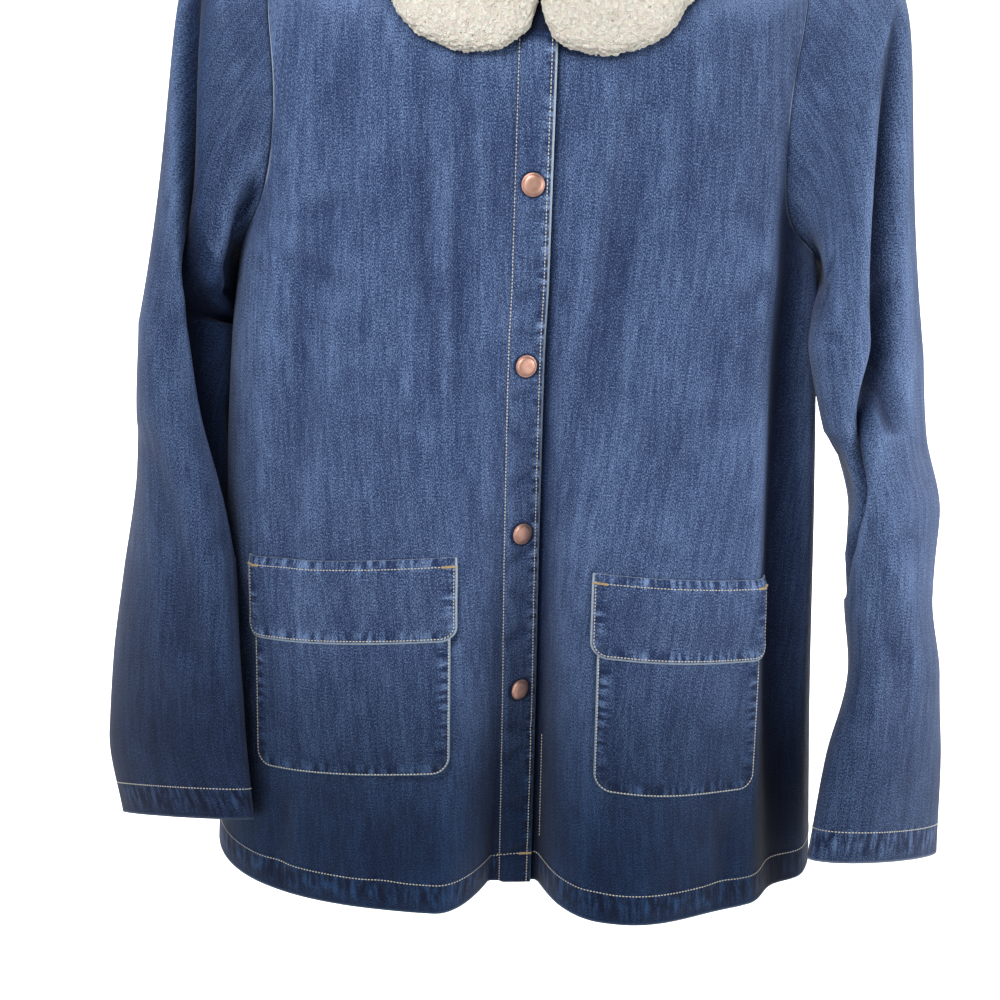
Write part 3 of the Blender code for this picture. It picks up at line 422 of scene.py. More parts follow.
def body_tables():
    """The body's sections and the placket's valley on a fine ladder of levels, hem last."""
    levels = np.linspace(NECK_LEVEL, HEM_LEVEL, LEVEL_STEPS + 1)
    sections = np.array([read_table(BODY_SECTIONS, level) for level in levels])
    valleys = np.array([read_table(PLACKET_VALLEY, level) for level in levels])
    turn = np.linspace(0.0, math.pi / 2.0, FINE_STEPS)
    fractions = np.linspace(0.0, 1.0, FRACTION_STEPS + 1)
    faces, lengths = [], []
    for at_back in (False, True):
        rows, sizes = [], []
        for section, valley in zip(sections, valleys):
            square = 2.0 / section[7]
            across = section[4] * np.sin(turn) ** square
            deep = (section[6] if at_back else section[5] + valley[1]) * np.cos(turn) ** square
            run = np.concatenate([[0.0], np.cumsum(np.hypot(np.diff(across), np.diff(deep)))])
            place = fractions * run[-1]
            x, y = np.interp(place, run, across), np.interp(place, run, deep)
            ahead = np.minimum(place + BESIDE * run[-1], run[-1])
            behind = np.maximum(place - BESIDE * run[-1], 0)
            way_x = np.interp(ahead, run, across) - np.interp(behind, run, across)
            way_y = np.interp(ahead, run, deep) - np.interp(behind, run, deep)
            size = np.hypot(way_x, way_y)
            rows.append(np.stack([x, y, way_x / size, way_y / size], axis=1))
            sizes.append(run[-1])
        faces.append(np.array(rows))
        lengths.append(np.array(sizes))
    return sections, valleys, faces, lengths


SECTIONS, VALLEYS, FACES, LENGTHS = body_tables()


def rung(level):
    """Place of a level on the ladder of levels."""
    return np.clip((NECK_LEVEL - level) / (NECK_LEVEL - HEM_LEVEL), 0.0, 1.0) * LEVEL_STEPS


def at_rung(values, level):
    """Read one of the ladder's columns at any level."""
    return np.interp(rung(np.asarray(level, float)), np.arange(LEVEL_STEPS + 1), values)


def bilinear(table, row, column):
    """Read a table of points between its rows and columns."""
    low_row = np.clip(np.floor(row).astype(int), 0, table.shape[0] - 2)
    low_column = np.clip(np.floor(column).astype(int), 0, table.shape[1] - 2)
    up = (row - low_row)[..., None]
    over = (column - low_column)[..., None]
    low = table[low_row, low_column] * (1.0 - over) + table[low_row, low_column + 1] * over
    high = table[low_row + 1, low_column] * (1.0 - over) + table[low_row + 1, low_column + 1] * over
    return low * (1.0 - up) + high * up


def quarter_length(level, at_back=False):
    """Length of the cloth from the middle line to the side seam at a level, before folds."""
    return at_rung(LENGTHS[int(at_back)], level)


def fold_depth(fold, along, level):
    """Depth of one fold at distances along the cloth and levels."""
    t = (fold.top - level) / (fold.top - fold.end)
    inside = (t >= 0.0) & (t <= 1.0)
    place = three_point(t, fold.place_top, fold.place_mid, fold.place_end)
    reach = np.where(along > place, fold.reach_left, fold.reach_right)
    depth = three_point(t, fold.depth_top, fold.depth_mid, fold.depth_end) * swell((along - place) / reach)
    return np.where(inside, depth, 0.0)


def valley_depth(along, level):
    """Depth of the placket's valley at distances from the centre front."""
    depth, tilt, floor_right, reach_right, reach_left = [at_rung(VALLEYS[:, k], level) for k in range(1, 6)]
    edge = np.clip(along, -floor_right, FLOOR_LEFT)
    deep = depth + tilt * edge
    right = np.maximum(1.0 - (edge - along) / reach_right, 0.0) ** RIGHT_SLOPE
    left = np.maximum(1.0 - (along - edge) / reach_left, 0.0) ** LEFT_SLOPE
    return deep * np.where(along < edge, right, left)


def body_points(place, level):
    """Points of the body's outer face. place is 0 at the centre front, 1 at the wearer's left side
    seam, 2 at the centre back and -1 at the right side seam."""
    place = (place + 2.0) % 4.0 - 2.0
    side = np.where(place >= 0.0, 1.0, -1.0)
    at_back = np.abs(place) > 1.0
    facing = np.where(at_back, 1.0, -1.0)
    fraction = np.where(at_back, 2.0 - np.abs(place), np.abs(place))
    row, column = rung(level), fraction * FRACTION_STEPS
    read = np.where(at_back[..., None], bilinear(FACES[1], row, column), bilinear(FACES[0], row, column))
    length = np.where(at_back, at_rung(LENGTHS[1], level), at_rung(LENGTHS[0], level))
    along = fraction * length * side
    front = valley_depth(along, level) + crease_depth(FRONT_CREASES, along, level)
    back = crease_depth(BACK_CREASES, along, level)
    for fold in BODY_FOLDS:
        if fold.line == "back":
            back = back + fold_depth(fold, along, level)
        else:
            front = front + fold_depth(fold, along, level)
    depth = np.where(at_back, back, front)
    x = at_rung(SECTIONS[:, 3], level) + side * (read[..., 0] + read[..., 3] * depth)
    y = facing * (read[..., 1] - read[..., 2] * depth)
    low = np.where(at_back, at_rung(SECTIONS[:, 2], level), 0.0)
    rise = low + (at_rung(SECTIONS[:, 1], level) - low) * fraction ** 1.7
    return np.stack([x, y, level + rise], axis=-1)


def armhole_place(around):
    """Where the armhole runs, as (part of a quarter in from the side seam, level), by degrees."""
    middle = 0.5 * (SHOULDER_LEVEL + UNDERARM_LEVEL)
    reach = 0.5 * (SHOULDER_LEVEL - UNDERARM_LEVEL)
    angle = np.radians(around)
    lean = np.where(np.sin(angle) >= 0.0, ARMHOLE_FRONT, ARMHOLE_BACK)
    return lean * np.abs(np.sin(angle)) ** 0.8, middle + reach * np.cos(angle)


# ---------------------------------------------------------------- sheets of cloth as grids
def unit(vectors):
    """Vectors brought to length one."""
    return vectors / np.maximum(np.linalg.norm(vectors, axis=-1, keepdims=True), 1e-12)


def grid_normals(points, wrap=False):
    """Outward unit normals of a grid, from its rows and columns."""
    if wrap:
        across = np.roll(points, -1, axis=1) - np.roll(points, 1, axis=1)
    else:
        across = np.gradient(points, axis=1)
    return unit(np.cross(across, np.gradient(points, axis=0)))


def running(points, axis, start=0):
    """Distance run along a grid's rows (axis 1) or columns (axis 0), counted from one of them."""
    steps = np.linalg.norm(np.diff(points, axis=axis), axis=-1)
    pad = [(0, 0), (0, 0)]
    pad[axis] = (1, 0)
    run = np.cumsum(np.pad(steps, pad), axis=axis)
    return run - np.take(run, [start], axis=axis)


FAR_AWAY = 1.0  # distance from a seam where none is near
HOLLOW_PASSES = 24  # how widely a sheet is smoothed to find its valleys
HOLLOW_DEPTH = 0.0030  # depth of valley that is fully shaded


class Cloth:
    """A sheet of cloth as a grid: its points, outward normals, place in the cut cloth (in metres) and
    the place along and distance from its nearest finished edge. A tube also has each row's girth.
    seam is the distance from an armhole's seam and shade is how much painted shade the cloth gets."""

    def __init__(self, points, cut, rim, girths=None):
        self.points = points
        self.seam = np.full(points.shape[:2], FAR_AWAY)
        self.shade = np.zeros(points.shape[:2])
        self.wrap = girths is not None
        self.normals = grid_normals(points, self.wrap)
        self.cut = cut
        self.rim = rim
        self.girths = girths

    def hollow(self):
        """How far each point lies in a valley (above zero) or on a ridge (below zero)."""
        soft = self.points.copy()
        for _ in range(HOLLOW_PASSES):
            if self.wrap:
                across = np.roll(soft, 1, axis=1) + np.roll(soft, -1, axis=1)
            else:
                wide = np.pad(soft, ((0, 0), (1, 1), (0, 0)), mode="edge")
                across = wide[:, :-2] + wide[:, 2:]
            tall = np.pad(soft, ((1, 1), (0, 0), (0, 0)), mode="edge")
            soft = 0.25 * (across + tall[:-2] + tall[2:])
        lift = np.sum((soft - self.points) * self.normals, axis=-1)
        return np.clip(lift / HOLLOW_DEPTH, -1.0, 1.0)


class Panel(Cloth):
    """A front panel, which can be read at a distance from the centre front and a level."""

    def __init__(self, points, lines, levels):
        middle = int(np.argmin(np.abs(lines)))
        run = np.stack([running(points, 1, middle), running(points, 0)], axis=-1)
        super().__init__(points, run, run.copy())
        self.lines = lines
        self.levels = levels

    def place(self, along, level):
        """Row and column of spots on the lower panel, or anywhere on the placket."""
        return (np.interp(level, self.levels, np.arange(len(self.levels))),
                np.interp(along, self.lines, np.arange(len(self.lines))))

    def read(self, along, level, height):
        """Points above the panel, and the normals and places in the cut cloth there."""
        row, column = self.place(np.asarray(along, float), np.asarray(level, float))
        normal = unit(bilinear(self.normals, row, column))
        point = bilinear(self.points, row, column) + normal * np.asarray(height)[..., None]
        return point, normal, bilinear(self.cut, row, column)


ARM_SHARE = 9.0  # how the middle's rise is shared between the armhole's and the neck's rows
NECK_SHARE = 4.0
FRONT_ROWS = (176, 50, 14)  # a front's rows below the armhole, along it and above it
BACK_ROWS = (150, 44, 12)
PLACKET_COLUMNS = 30  # a front's columns under the placket, up to PLACKET_SPREAD
PLACKET_SPREAD = 0.040
FRONT_COLUMNS = 93  # and past it
BACK_COLUMNS = 131
BACK_CROWDING = 0.10  # how much closer the back's columns stand towards the sides


def panel_rows(low_count, arm_count, neck_count):
    """The panels' rows, hem to neck: the armhole's inset at the row's end, the row's level at that
    end and its level at the middle."""
    low = np.linspace(HEM_LEVEL, UNDERARM_LEVEL, low_count + 1)[:-1]
    inset, level = armhole_place(np.linspace(180.0, 0.0, arm_count + 1))
    neck = np.linspace(SHOULDER_LEVEL, NECK_LEVEL, neck_count + 1)[1:]
    knots = np.concatenate([np.linspace(0.0, ARM_SHARE, arm_count + 1),
                            np.linspace(ARM_SHARE, ARM_SHARE + NECK_SHARE, neck_count + 1)[1:]])
    middle = UNDERARM_LEVEL + (NECK_LEVEL - UNDERARM_LEVEL) * knots / (ARM_SHARE + NECK_SHARE)
    insets = np.concatenate([np.zeros(len(low)), inset, np.zeros(neck_count)])
    ends = np.concatenate([low, level, neck])
    return insets, ends, np.concatenate([low, middle])


def front_panel(side, pocket, tuck):
    """A front panel. Its columns run along X, and tuck is how far its edge at the centre bends in."""
    full = float(quarter_length(STRAIGHT_BELOW))
    lines = np.concatenate([np.linspace(-PLACKET_HALF, PLACKET_SPREAD, PLACKET_COLUMNS + 1)[:-1],
                            np.linspace(PLACKET_SPREAD, full, FRONT_COLUMNS)])
    insets, ends, middles = [column[:, None] for column in panel_rows(*FRONT_ROWS)]
    share = np.maximum(lines - PLACKET_HALF, 0.0)[None, :] / (full - PLACKET_HALF)
    level = middles + (ends - middles) * share ** 3
    length = quarter_length(level)
    end = (1.0 - insets) * length - PANEL_GAP
    held = pocket.far + POCKET_MARGIN
    low = lines + np.maximum(lines - held, 0.0) / (full - held) * (end - full)
    even = EVEN_PART * length
    shared = PLACKET_HALF + share * (even - PLACKET_HALF) + share ** 4 * (end - even)
    blend = ease((level - STRAIGHT_BELOW) / (SHARED_ABOVE - STRAIGHT_BELOW))
    along = np.where(lines[None, :] <= PLACKET_HALF, lines, low + (shared - low) * blend)
    reach = [PLACKET_HALF, pocket.near, pocket.far, pocket.far + SAG_FADE]
    amount = np.interp(along, reach, [0.0, pocket.lift, pocket.lift - pocket.droop, 0.0])
    level = level + amount * np.interp(level, SAG_LEVELS, [0.0, 1.0, 1.0, 0.0])
    points = body_points(side * along / quarter_length(level), level)
    run = running(points, 1)
    seam = np.where(insets > 0.0, run[:, -1:] - run, FAR_AWAY)
    if side < 0.0:
        points, along, lines, seam = points[:, ::-1], -along[:, ::-1], -lines[::-1], seam[:, ::-1]
        level = level[:, ::-1]
    push = -tuck * ease((UNDERLAP_REACH - np.abs(along)) / (UNDERLAP_REACH - FLOOR_LEFT))
    panel = Panel(points + grid_normals(points) * push[..., None], lines, middles[:, 0])
    panel.seam = seam
    panel.along, panel.level = along, level
    # Painted shade in the floors of the shaded folds.
    dark = [fold_depth(fold, along, level) for fold in BODY_FOLDS if fold.name in SHADED_FOLDS]
    panel.shade = sum(dark) / FULL_SHADE_DEPTH
    return panel


def back_panel():
    """The back panel, from the left side seam to the right one."""
    spread = np.linspace(-1.0, 1.0, BACK_COLUMNS)
    spread = spread * (1.0 + BACK_CROWDING * (1.0 - spread ** 2))
    insets, ends, middles = [column[:, None] for column in panel_rows(*BACK_ROWS)]
    taken = insets * ARMHOLE_BACK / ARMHOLE_FRONT + PANEL_GAP / quarter_length(ends, True)
    level = middles + (ends - middles) * np.abs(spread) ** 3
    points = body_points(2.0 + (1.0 - taken) * spread[None, :], level)
    run = np.stack([running(points, 1, BACK_COLUMNS // 2), running(points, 0)], axis=-1)
    return Cloth(points, run, run.copy())


def oval_ring(oval, side, count):
    """Points round a sleeve's section, from the outer side over the front."""
    turn = math.radians(oval.turn)
    long_way = np.array([-side * math.cos(turn), -math.sin(turn), 0.0]) * oval.long
    thin_way = np.array([side * math.sin(turn), -math.cos(turn), 0.0]) * oval.thin
    angle = 2.0 * math.pi * np.arange(count) / count - (math.pi - turn)
    ring = (np.array([side * oval.out, oval.y, oval.z]) + np.cos(angle)[:, None] * long_way
            - np.sin(angle)[:, None] * thin_way)
    ring[:, 2] += oval.tilt * (oval.y - ring[:, 1])
    return ring


SLEEVE_COLUMNS = 112
HEAD_STEPS = 71  # rows of a sleeve from its armhole to its first free ring
ARM_STEPS = 141  # and from there to its cuff
GRAIN_LEAN = 32.0  # degrees by which the warp leans out at the armhole
SLEEVE_GIRTH = 0.21  # length of cloth round a sleeve by which its creases are measured


def sleeve_cloth(ovals, folds, creases, head, side, shading):
    """A sleeve from its armhole to its cuff."""
    count = SLEEVE_COLUMNS
    degrees = np.arange(count) * 360.0 / count
    around = np.radians(degrees)
    inset, level = armhole_place(degrees)
    middle = 0.5 * (SHOULDER_LEVEL + UNDERARM_LEVEL)
    level = level + SLEEVE_GAP * (middle - level) / abs(SHOULDER_LEVEL - middle)
    at_back = degrees > 180.0
    length = np.where(at_back, quarter_length(level, True), quarter_length(level))
    inset = np.maximum(inset - SLEEVE_GAP / length, 0.0)
    start = body_points(side * np.where(at_back, 1.0 + inset, 1.0 - inset), level)
    end = oval_ring(ovals[0], side, count)
    leave, arrive = np.zeros_like(start), np.zeros_like(start)
    share = 0.5 + 0.5 * np.cos(around)
    leave[:, 0] = side * (UNDERARM_SWING + (head - UNDERARM_SWING) * share)
    leave[:, 2] = HEAD_RISE * share
    arrive[:, 0] = side * HEAD_SPREAD * share
    arrive[:, 2] = -(UNDERARM_DROP + OUTER_DROP * share + TOP_DROP * share ** 3)
    rows = []
    for t in np.linspace(0.0, 1.0, HEAD_STEPS):
        rows.append((2 * t ** 3 - 3 * t ** 2 + 1) * start + (t ** 3 - 2 * t ** 2 + t) * leave
                    + (3 * t ** 2 - 2 * t ** 3) * end + (t ** 3 - t ** 2) * arrive)
    drops = [-oval.z for oval in ovals]
    for drop in np.linspace(drops[0], drops[-1], ARM_STEPS)[1:]:
        values = [smooth(drop, drops, column) for column in list(zip(*ovals))[1:]]
        rows.append(oval_ring(Oval(-drop, *values), side, count))
    grid = np.array(rows)
    normals = side * grid_normals(grid, wrap=True)
    middles = grid.mean(axis=1)
    run = np.concatenate([[0.0], np.cumsum(np.linalg.norm(np.diff(middles, axis=0), axis=1))])
    total = run[-1]
    run = (run / total)[:, None]
    depth = np.zeros(grid.shape[:2])
    # Painted shade, set down the sleeve and added in the floor of each deep fold.
    shade = np.interp(run[:, 0], shading.downs, shading.shades)[:, None] + depth
    for fold in folds:
        t = (run - fold.run_top) / (fold.run_end - fold.run_top)
        inside = np.clip(t, 0.0, 1.0)
        place = fold.around_top + (fold.around_end - fold.around_top) * inside
        away = (degrees[None, :] - place + 180.0) % 360.0 - 180.0
        depth += np.sin(math.pi * inside) ** 0.6 * fold.depth * swell(away / fold.reach)
        if fold.depth > FULL_SHADE_DEPTH:
            reach = np.where(away > 0.0, shading.spread, 1.0) * fold.reach
            shade += shading.floor * np.sin(math.pi * inside) ** 0.3 * swell(away / reach)
    depth += sleeve_creases(creases, degrees, run[:, 0] * total, total)
    steps = np.linalg.norm(np.roll(grid, -1, axis=1) - grid, axis=-1)
    girth = np.cumsum(steps, axis=1) - steps
    turn = steps.sum(axis=1)
    girth = np.where(np.arange(count)[None, :] > count // 2, girth - turn[:, None], girth)
    cut = sleeve_grain(grid, side, girth)
    grid = grid - normals * depth[..., None]
    down = running(grid, 0)
    rim = np.stack([girth, down[-1:, :] - down], axis=-1)
    if side < 0.0:
        grid, cut, rim, shade = grid[:, ::-1], cut[:, ::-1], rim[:, ::-1], shade[:, ::-1]
    cloth = Cloth(grid, cut, rim, turn)
    cloth.shade = shade
    return cloth


def sleeve_grain(grid, side, girth):
    """Places in the cut cloth of a sleeve, whose warp runs straight up the arm and through its head."""
    normals = side * grid_normals(grid, wrap=True)
    share = np.clip(1.0 - np.arange(len(grid)) / (HEAD_STEPS - 1), 0.0, 1.0)
    lean = np.radians(GRAIN_LEAN * share)[:, None]
    axis = np.stack([side * np.sin(lean), 0.0 * lean, -np.cos(lean)], axis=-1)
    warp = unit(axis - np.sum(axis * normals, axis=-1, keepdims=True) * normals)
    weft = np.cross(warp, normals) * side
    cut = np.zeros(grid.shape[:2] + (2,))
    cut[HEAD_STEPS - 1, :, 0] = girth[HEAD_STEPS - 1]
    for row in range(HEAD_STEPS - 1, 0, -1):
        step = grid[row - 1] - grid[row]
        cut[row - 1, :, 0] = cut[row, :, 0] + np.sum(step * weft[row], axis=-1)
        cut[row - 1, :, 1] = cut[row, :, 1] - np.sum(step * warp[row], axis=-1)
    down = running(grid, 0, HEAD_STEPS - 1)
    cut[HEAD_STEPS:, :, 0] = girth[HEAD_STEPS:]
    cut[HEAD_STEPS:, :, 1] = -down[HEAD_STEPS:]
    return cut


def sleeve_creases(creases, degrees, down, total):
    """Depth of a sleeve's creases at its grid's points, in metres of cloth round and down it."""
    metres = SLEEVE_GIRTH / 360.0
    scaled = [Crease(c.across_from * metres, c.down_from * total, c.across_to * metres, c.down_to * total,
                     c.width, c.depth) for c in creases]
    across, deep = np.meshgrid(degrees * metres, down)
    return crease_depth(scaled, across, deep)


TOP_EASE = 0.0014  # how much less a sewn-on piece's top edge is rolled than its others
ROLL = Swell(0.0011, 0.0, 0.0016)  # how its edge rolls down
GROOVE = Swell(0.0005, 0.0024, 0.0009)  # the groove that its stitching pulls in
RIPPLE = Swell(0.00035, 0.006, 0.006)  # the puckers beside that
PUFF = Swell(0.0016, 0.003, 0.030)  # how its middle stands off
RIPPLE_TURNS = 1310.0  # radians of pucker in a metre, and of the drift that makes them uneven
RIPPLE_DRIFT = 277.0
CORNER_STEPS = 12  # points round a corner
SIDE_POINTS = 40  # points of a row of stitching down a side and along the bottom
BOTTOM_POINTS = 60
EVEN_SPREAD = 0.45  # how evenly the columns stand: the rest crowds them at the sides
SIDE_OFFSET = 3.0  # keeps the wear of the sides apart from that of the bottom


class Patch:
    """A piece sewn on a front panel: its outline, its height above the panel and its cloth."""

    def __init__(self, panel, near, far, top, end, corner, base):
        self.panel = panel
        self.near, self.far, self.top, self.end, self.corner = near, far, top, end, corner
        self.base = base

    def edge_distance(self, along, level):
        """Distance inside the piece's sides, top and rounded lower edge."""
        middle, half = 0.5 * (self.near + self.far), 0.5 * (self.far - self.near)
        across = np.minimum(half - np.abs(along - middle), self.top - level + TOP_EASE)
        up = level - self.end
        beside = np.maximum(self.corner - across, 0.0)
        below = np.maximum(self.corner - up, 0.0)
        return np.where((beside > 0.0) & (below > 0.0), self.corner - np.hypot(beside, below),
                        np.minimum(across, up))

    def height(self, along, level):
        """Height of the piece's face above the panel: rolled at its edge, puffed in its middle."""
        inside = np.maximum(self.edge_distance(along, level), 0.0)
        groove = GROOVE.size * np.exp(-((inside - GROOVE.start) / GROOVE.reach) ** 2)
        rolled = -ROLL.size * (1.0 - ease(inside / ROLL.reach)) - groove
        wave = np.sin(along * RIPPLE_TURNS + 2.0 * np.sin(along * RIPPLE_DRIFT))
        ripple = RIPPLE.size * wave * swell((inside - RIPPLE.start) / RIPPLE.reach)
        return self.base(level) + rolled + ripple + PUFF.size * ease((inside - PUFF.start) / PUFF.reach)

    def cloth(self, columns, rows):
        """The piece as a grid, with more rows near its rounded edge."""
        turn = np.linspace(0.0, 0.5 * math.pi, CORNER_STEPS)
        low = self.end + self.corner * (1.0 - np.cos(turn))
        level = np.concatenate([low, np.linspace(low[-1], self.top, rows + 1)[1:]])[:, None]
        lift = np.minimum(level - self.end, self.corner)
        inset = self.corner - np.sqrt(np.maximum(self.corner ** 2 - (self.corner - lift) ** 2, 0.0))
        share = np.linspace(0.0, 1.0, columns + 1)
        crowded = 0.5 - 0.5 * np.cos(math.pi * share)
        share = EVEN_SPREAD * share + (1.0 - EVEN_SPREAD) * crowded
        along = (self.near + inset) + share[None, :] * (self.far - self.near - 2.0 * inset)
        level = np.broadcast_to(level, along.shape)
        points, _, cut = self.panel.read(along, level, self.height(along, level))
        inside = self.edge_distance(along, level)
        side = 0.5 * (self.far - self.near) - np.abs(along - 0.5 * (self.near + self.far))
        bottom = np.minimum(level - self.end, self.top - level) < side
        rim = np.stack([np.where(bottom, along, level + SIDE_OFFSET), inside], axis=-1)
        return Cloth(points, cut, rim)

    def seam(self, inset, start, end):
        """A path inside the outline, down one side, along the bottom and up the other."""
        near, far, low = self.near + inset, self.far - inset, self.end + inset
        radius = max(self.corner - inset, 0.001)
        arc = np.linspace(0.0, 0.5 * math.pi, CORNER_STEPS)
        left = straight((near, start), (near, low + radius), SIDE_POINTS)
        first = np.stack([near + radius - radius * np.cos(arc), low + radius - radius * np.sin(arc)], axis=1)
        base = straight((near + radius, low), (far - radius, low), BOTTOM_POINTS)
        last = np.stack([far - radius + radius * np.sin(arc), low + radius - radius * np.cos(arc)], axis=1)
        right = straight((far, low + radius), (far, end), SIDE_POINTS)
        return np.concatenate([left, first[1:], base[1:], last[1:], right[1:]])


def straight(start, end, count):
    """Points spread evenly from a start to an end."""
    return np.stack([np.linspace(start[axis], end[axis], count) for axis in (0, 1)], axis=1)


# ---------------------------------------------------------------- shader writing
EDGE_WEAR = 0.0019  # width of the pale worn line along a finished edge
EDGE_COLOUR = (0.58, 0.69, 0.80)
SEAM_WEAR = 0.0030  # width of the worn line along an armhole
HEM_SHADE_TOP = -0.435  # level at which painted shade starts to darken the denim towards the hem
HEM_SHADE_END = -0.670  # and where that painted shade is darkest
HEM_SHADE_TINT = (0.09, 0.20, 0.30)  # what the colour is multiplied by there, as painted shade
FOLD_SHADE_TINT = (0.17, 0.24, 0.33)  # and in full painted shade
FADE_SPAN = (0.06, 1.50)  # the least and the most that the denim is faded

# The speckles that fade the denim: their number in a metre, how short they are along the warp, their
# detail and how strongly each shows.
Speckle = namedtuple("Speckle", "scale along detail amount")
GRAIN = Speckle(1650.0, 0.50, 1.0, 3.0)
SLUB = Speckle(520.0, 0.10, 2.0, 0.80)
STREAK = Speckle(150.0, 0.07, 2.0, 0.50)
CLOUD = Speckle(26.0, 0.6, 2.0, 0.50)
ROPES = Speckle(215.0, 0.22, 2.0, 4.4)
HOLLOW_AMOUNT = 0.32  # how much darker a valley is, as painted shade, and paler a ridge is, as painted highlight and wear
MIDDLE_FADE = 0.42


def choose(made, settings):
    """Set a new node's own settings."""
    for name, value in (settings or {}).items():
        setattr(made, name, value)


class Wire:
    """A socket of a shader tree that can be used in Python expressions."""

    def __init__(self, tree, socket):
        self.tree = tree
        self.socket = socket

    def _maths(self, operation, *values):
        """Add a Math node."""
        return self.tree.node("ShaderNodeMath", {"operation": operation}, dict(enumerate(values)))[0]

    def __add__(self, other):
        return self._maths("ADD", self, other)

    __radd__ = __add__

    def __sub__(self, other):
        return self._maths("SUBTRACT", self, other)

    def __rsub__(self, other):
        return self._maths("SUBTRACT", other, self)

    def __mul__(self, other):
        return self._maths("MULTIPLY", self, other)

    __rmul__ = __mul__

    def between(self, low, high):
        """0 where the value is low, 1 where it is high, and smooth between."""
        return self.tree.node("ShaderNodeMapRange", {"interpolation_type": "SMOOTHSTEP"},
                              {"Value": self, "From Min": low, "From Max": high})[0]


class Shader:
    """A material's node tree with its Principled shader, and the one method that adds nodes."""

    def __init__(self, name):
        self.material = bpy.data.materials.new(name)
        self.material.use_nodes = True
        self.nodes = self.material.node_tree.nodes
        self.links = self.material.node_tree.links
        self.surface = self.nodes["Principled BSDF"]

    def put(self, socket, value):
        """Link a wire to a socket, or set the socket's own value."""
        if isinstance(value, Wire):
            self.links.new(value.socket, socket)
        else:
            socket.default_value = value

    def node(self, kind, settings=None, inputs=None):
        """Add a node: its settings first, then its inputs by name or number."""
        made = self.nodes.new(kind)
        choose(made, settings)
        for name, value in (inputs or {}).items():
            self.put(made.inputs[name], value)
        return [Wire(self, socket) for socket in made.outputs]

    def cloth_map(self, name, across, along):
        """A piece's UV map, scaled across and along the cloth."""
        place = self.node("ShaderNodeUVMap", {"uv_map": name})[0]
        return self.node("ShaderNodeVectorMath", {"operation": "MULTIPLY"},
                         {0: place, 1: (across, along, 1.0)})[0]

    def spot(self):
        """Place on the object in metres."""
        return self.node("ShaderNodeTexCoord")[3]

    def attribute(self, name):
        """A number that the mesh keeps at its points."""
        return self.node("ShaderNodeAttribute", {"attribute_name": name})[2]

    def weave(self, kind):
        """One kind of the denim's speckles, laid along the cloth as it was cut."""
        return self.speckle(self.cloth_map("cut", 1.0, kind.along), kind.scale, kind.detail, 0.5)

    def speckle(self, place, scale, detail=2.0, rough=0.5):
        """Soft noise at a scale per metre."""
        return self.node("ShaderNodeTexNoise", None, {"Vector": place, "Scale": scale, "Detail": detail,
                                                      "Roughness": rough})[0]

    def mix(self, amount, first, second, blend="MIX"):
        """Blend two colours."""
        made = self.nodes.new("ShaderNodeMix")
        made.data_type = "RGBA"
        made.blend_type = blend
        for index, value in ((0, amount), (6, first), (7, second)):
            self.put(made.inputs[index], value if isinstance(value, Wire) or index == 0 else (*value, 1.0))
        return Wire(self, made.outputs[2])

    def finish(self, colour, roughness, height=None, strength=1.0, **fixed):
        """Set the Principled shader: what varies is linked, and the rest is set on its sockets."""
        self.put(self.surface.inputs["Base Color"], colour if isinstance(colour, Wire) else (*colour, 1.0))
        self.put(self.surface.inputs["Roughness"], roughness)
        for name, value in fixed.items():
            self.surface.inputs[name.replace("_", " ")].default_value = value
        if height is not None:
            bump = self.node("ShaderNodeBump", None,
                             {"Height": height, "Distance": 1.0, "Strength": strength})[0]
            self.put(self.surface.inputs["Normal"], bump)
        return self.material


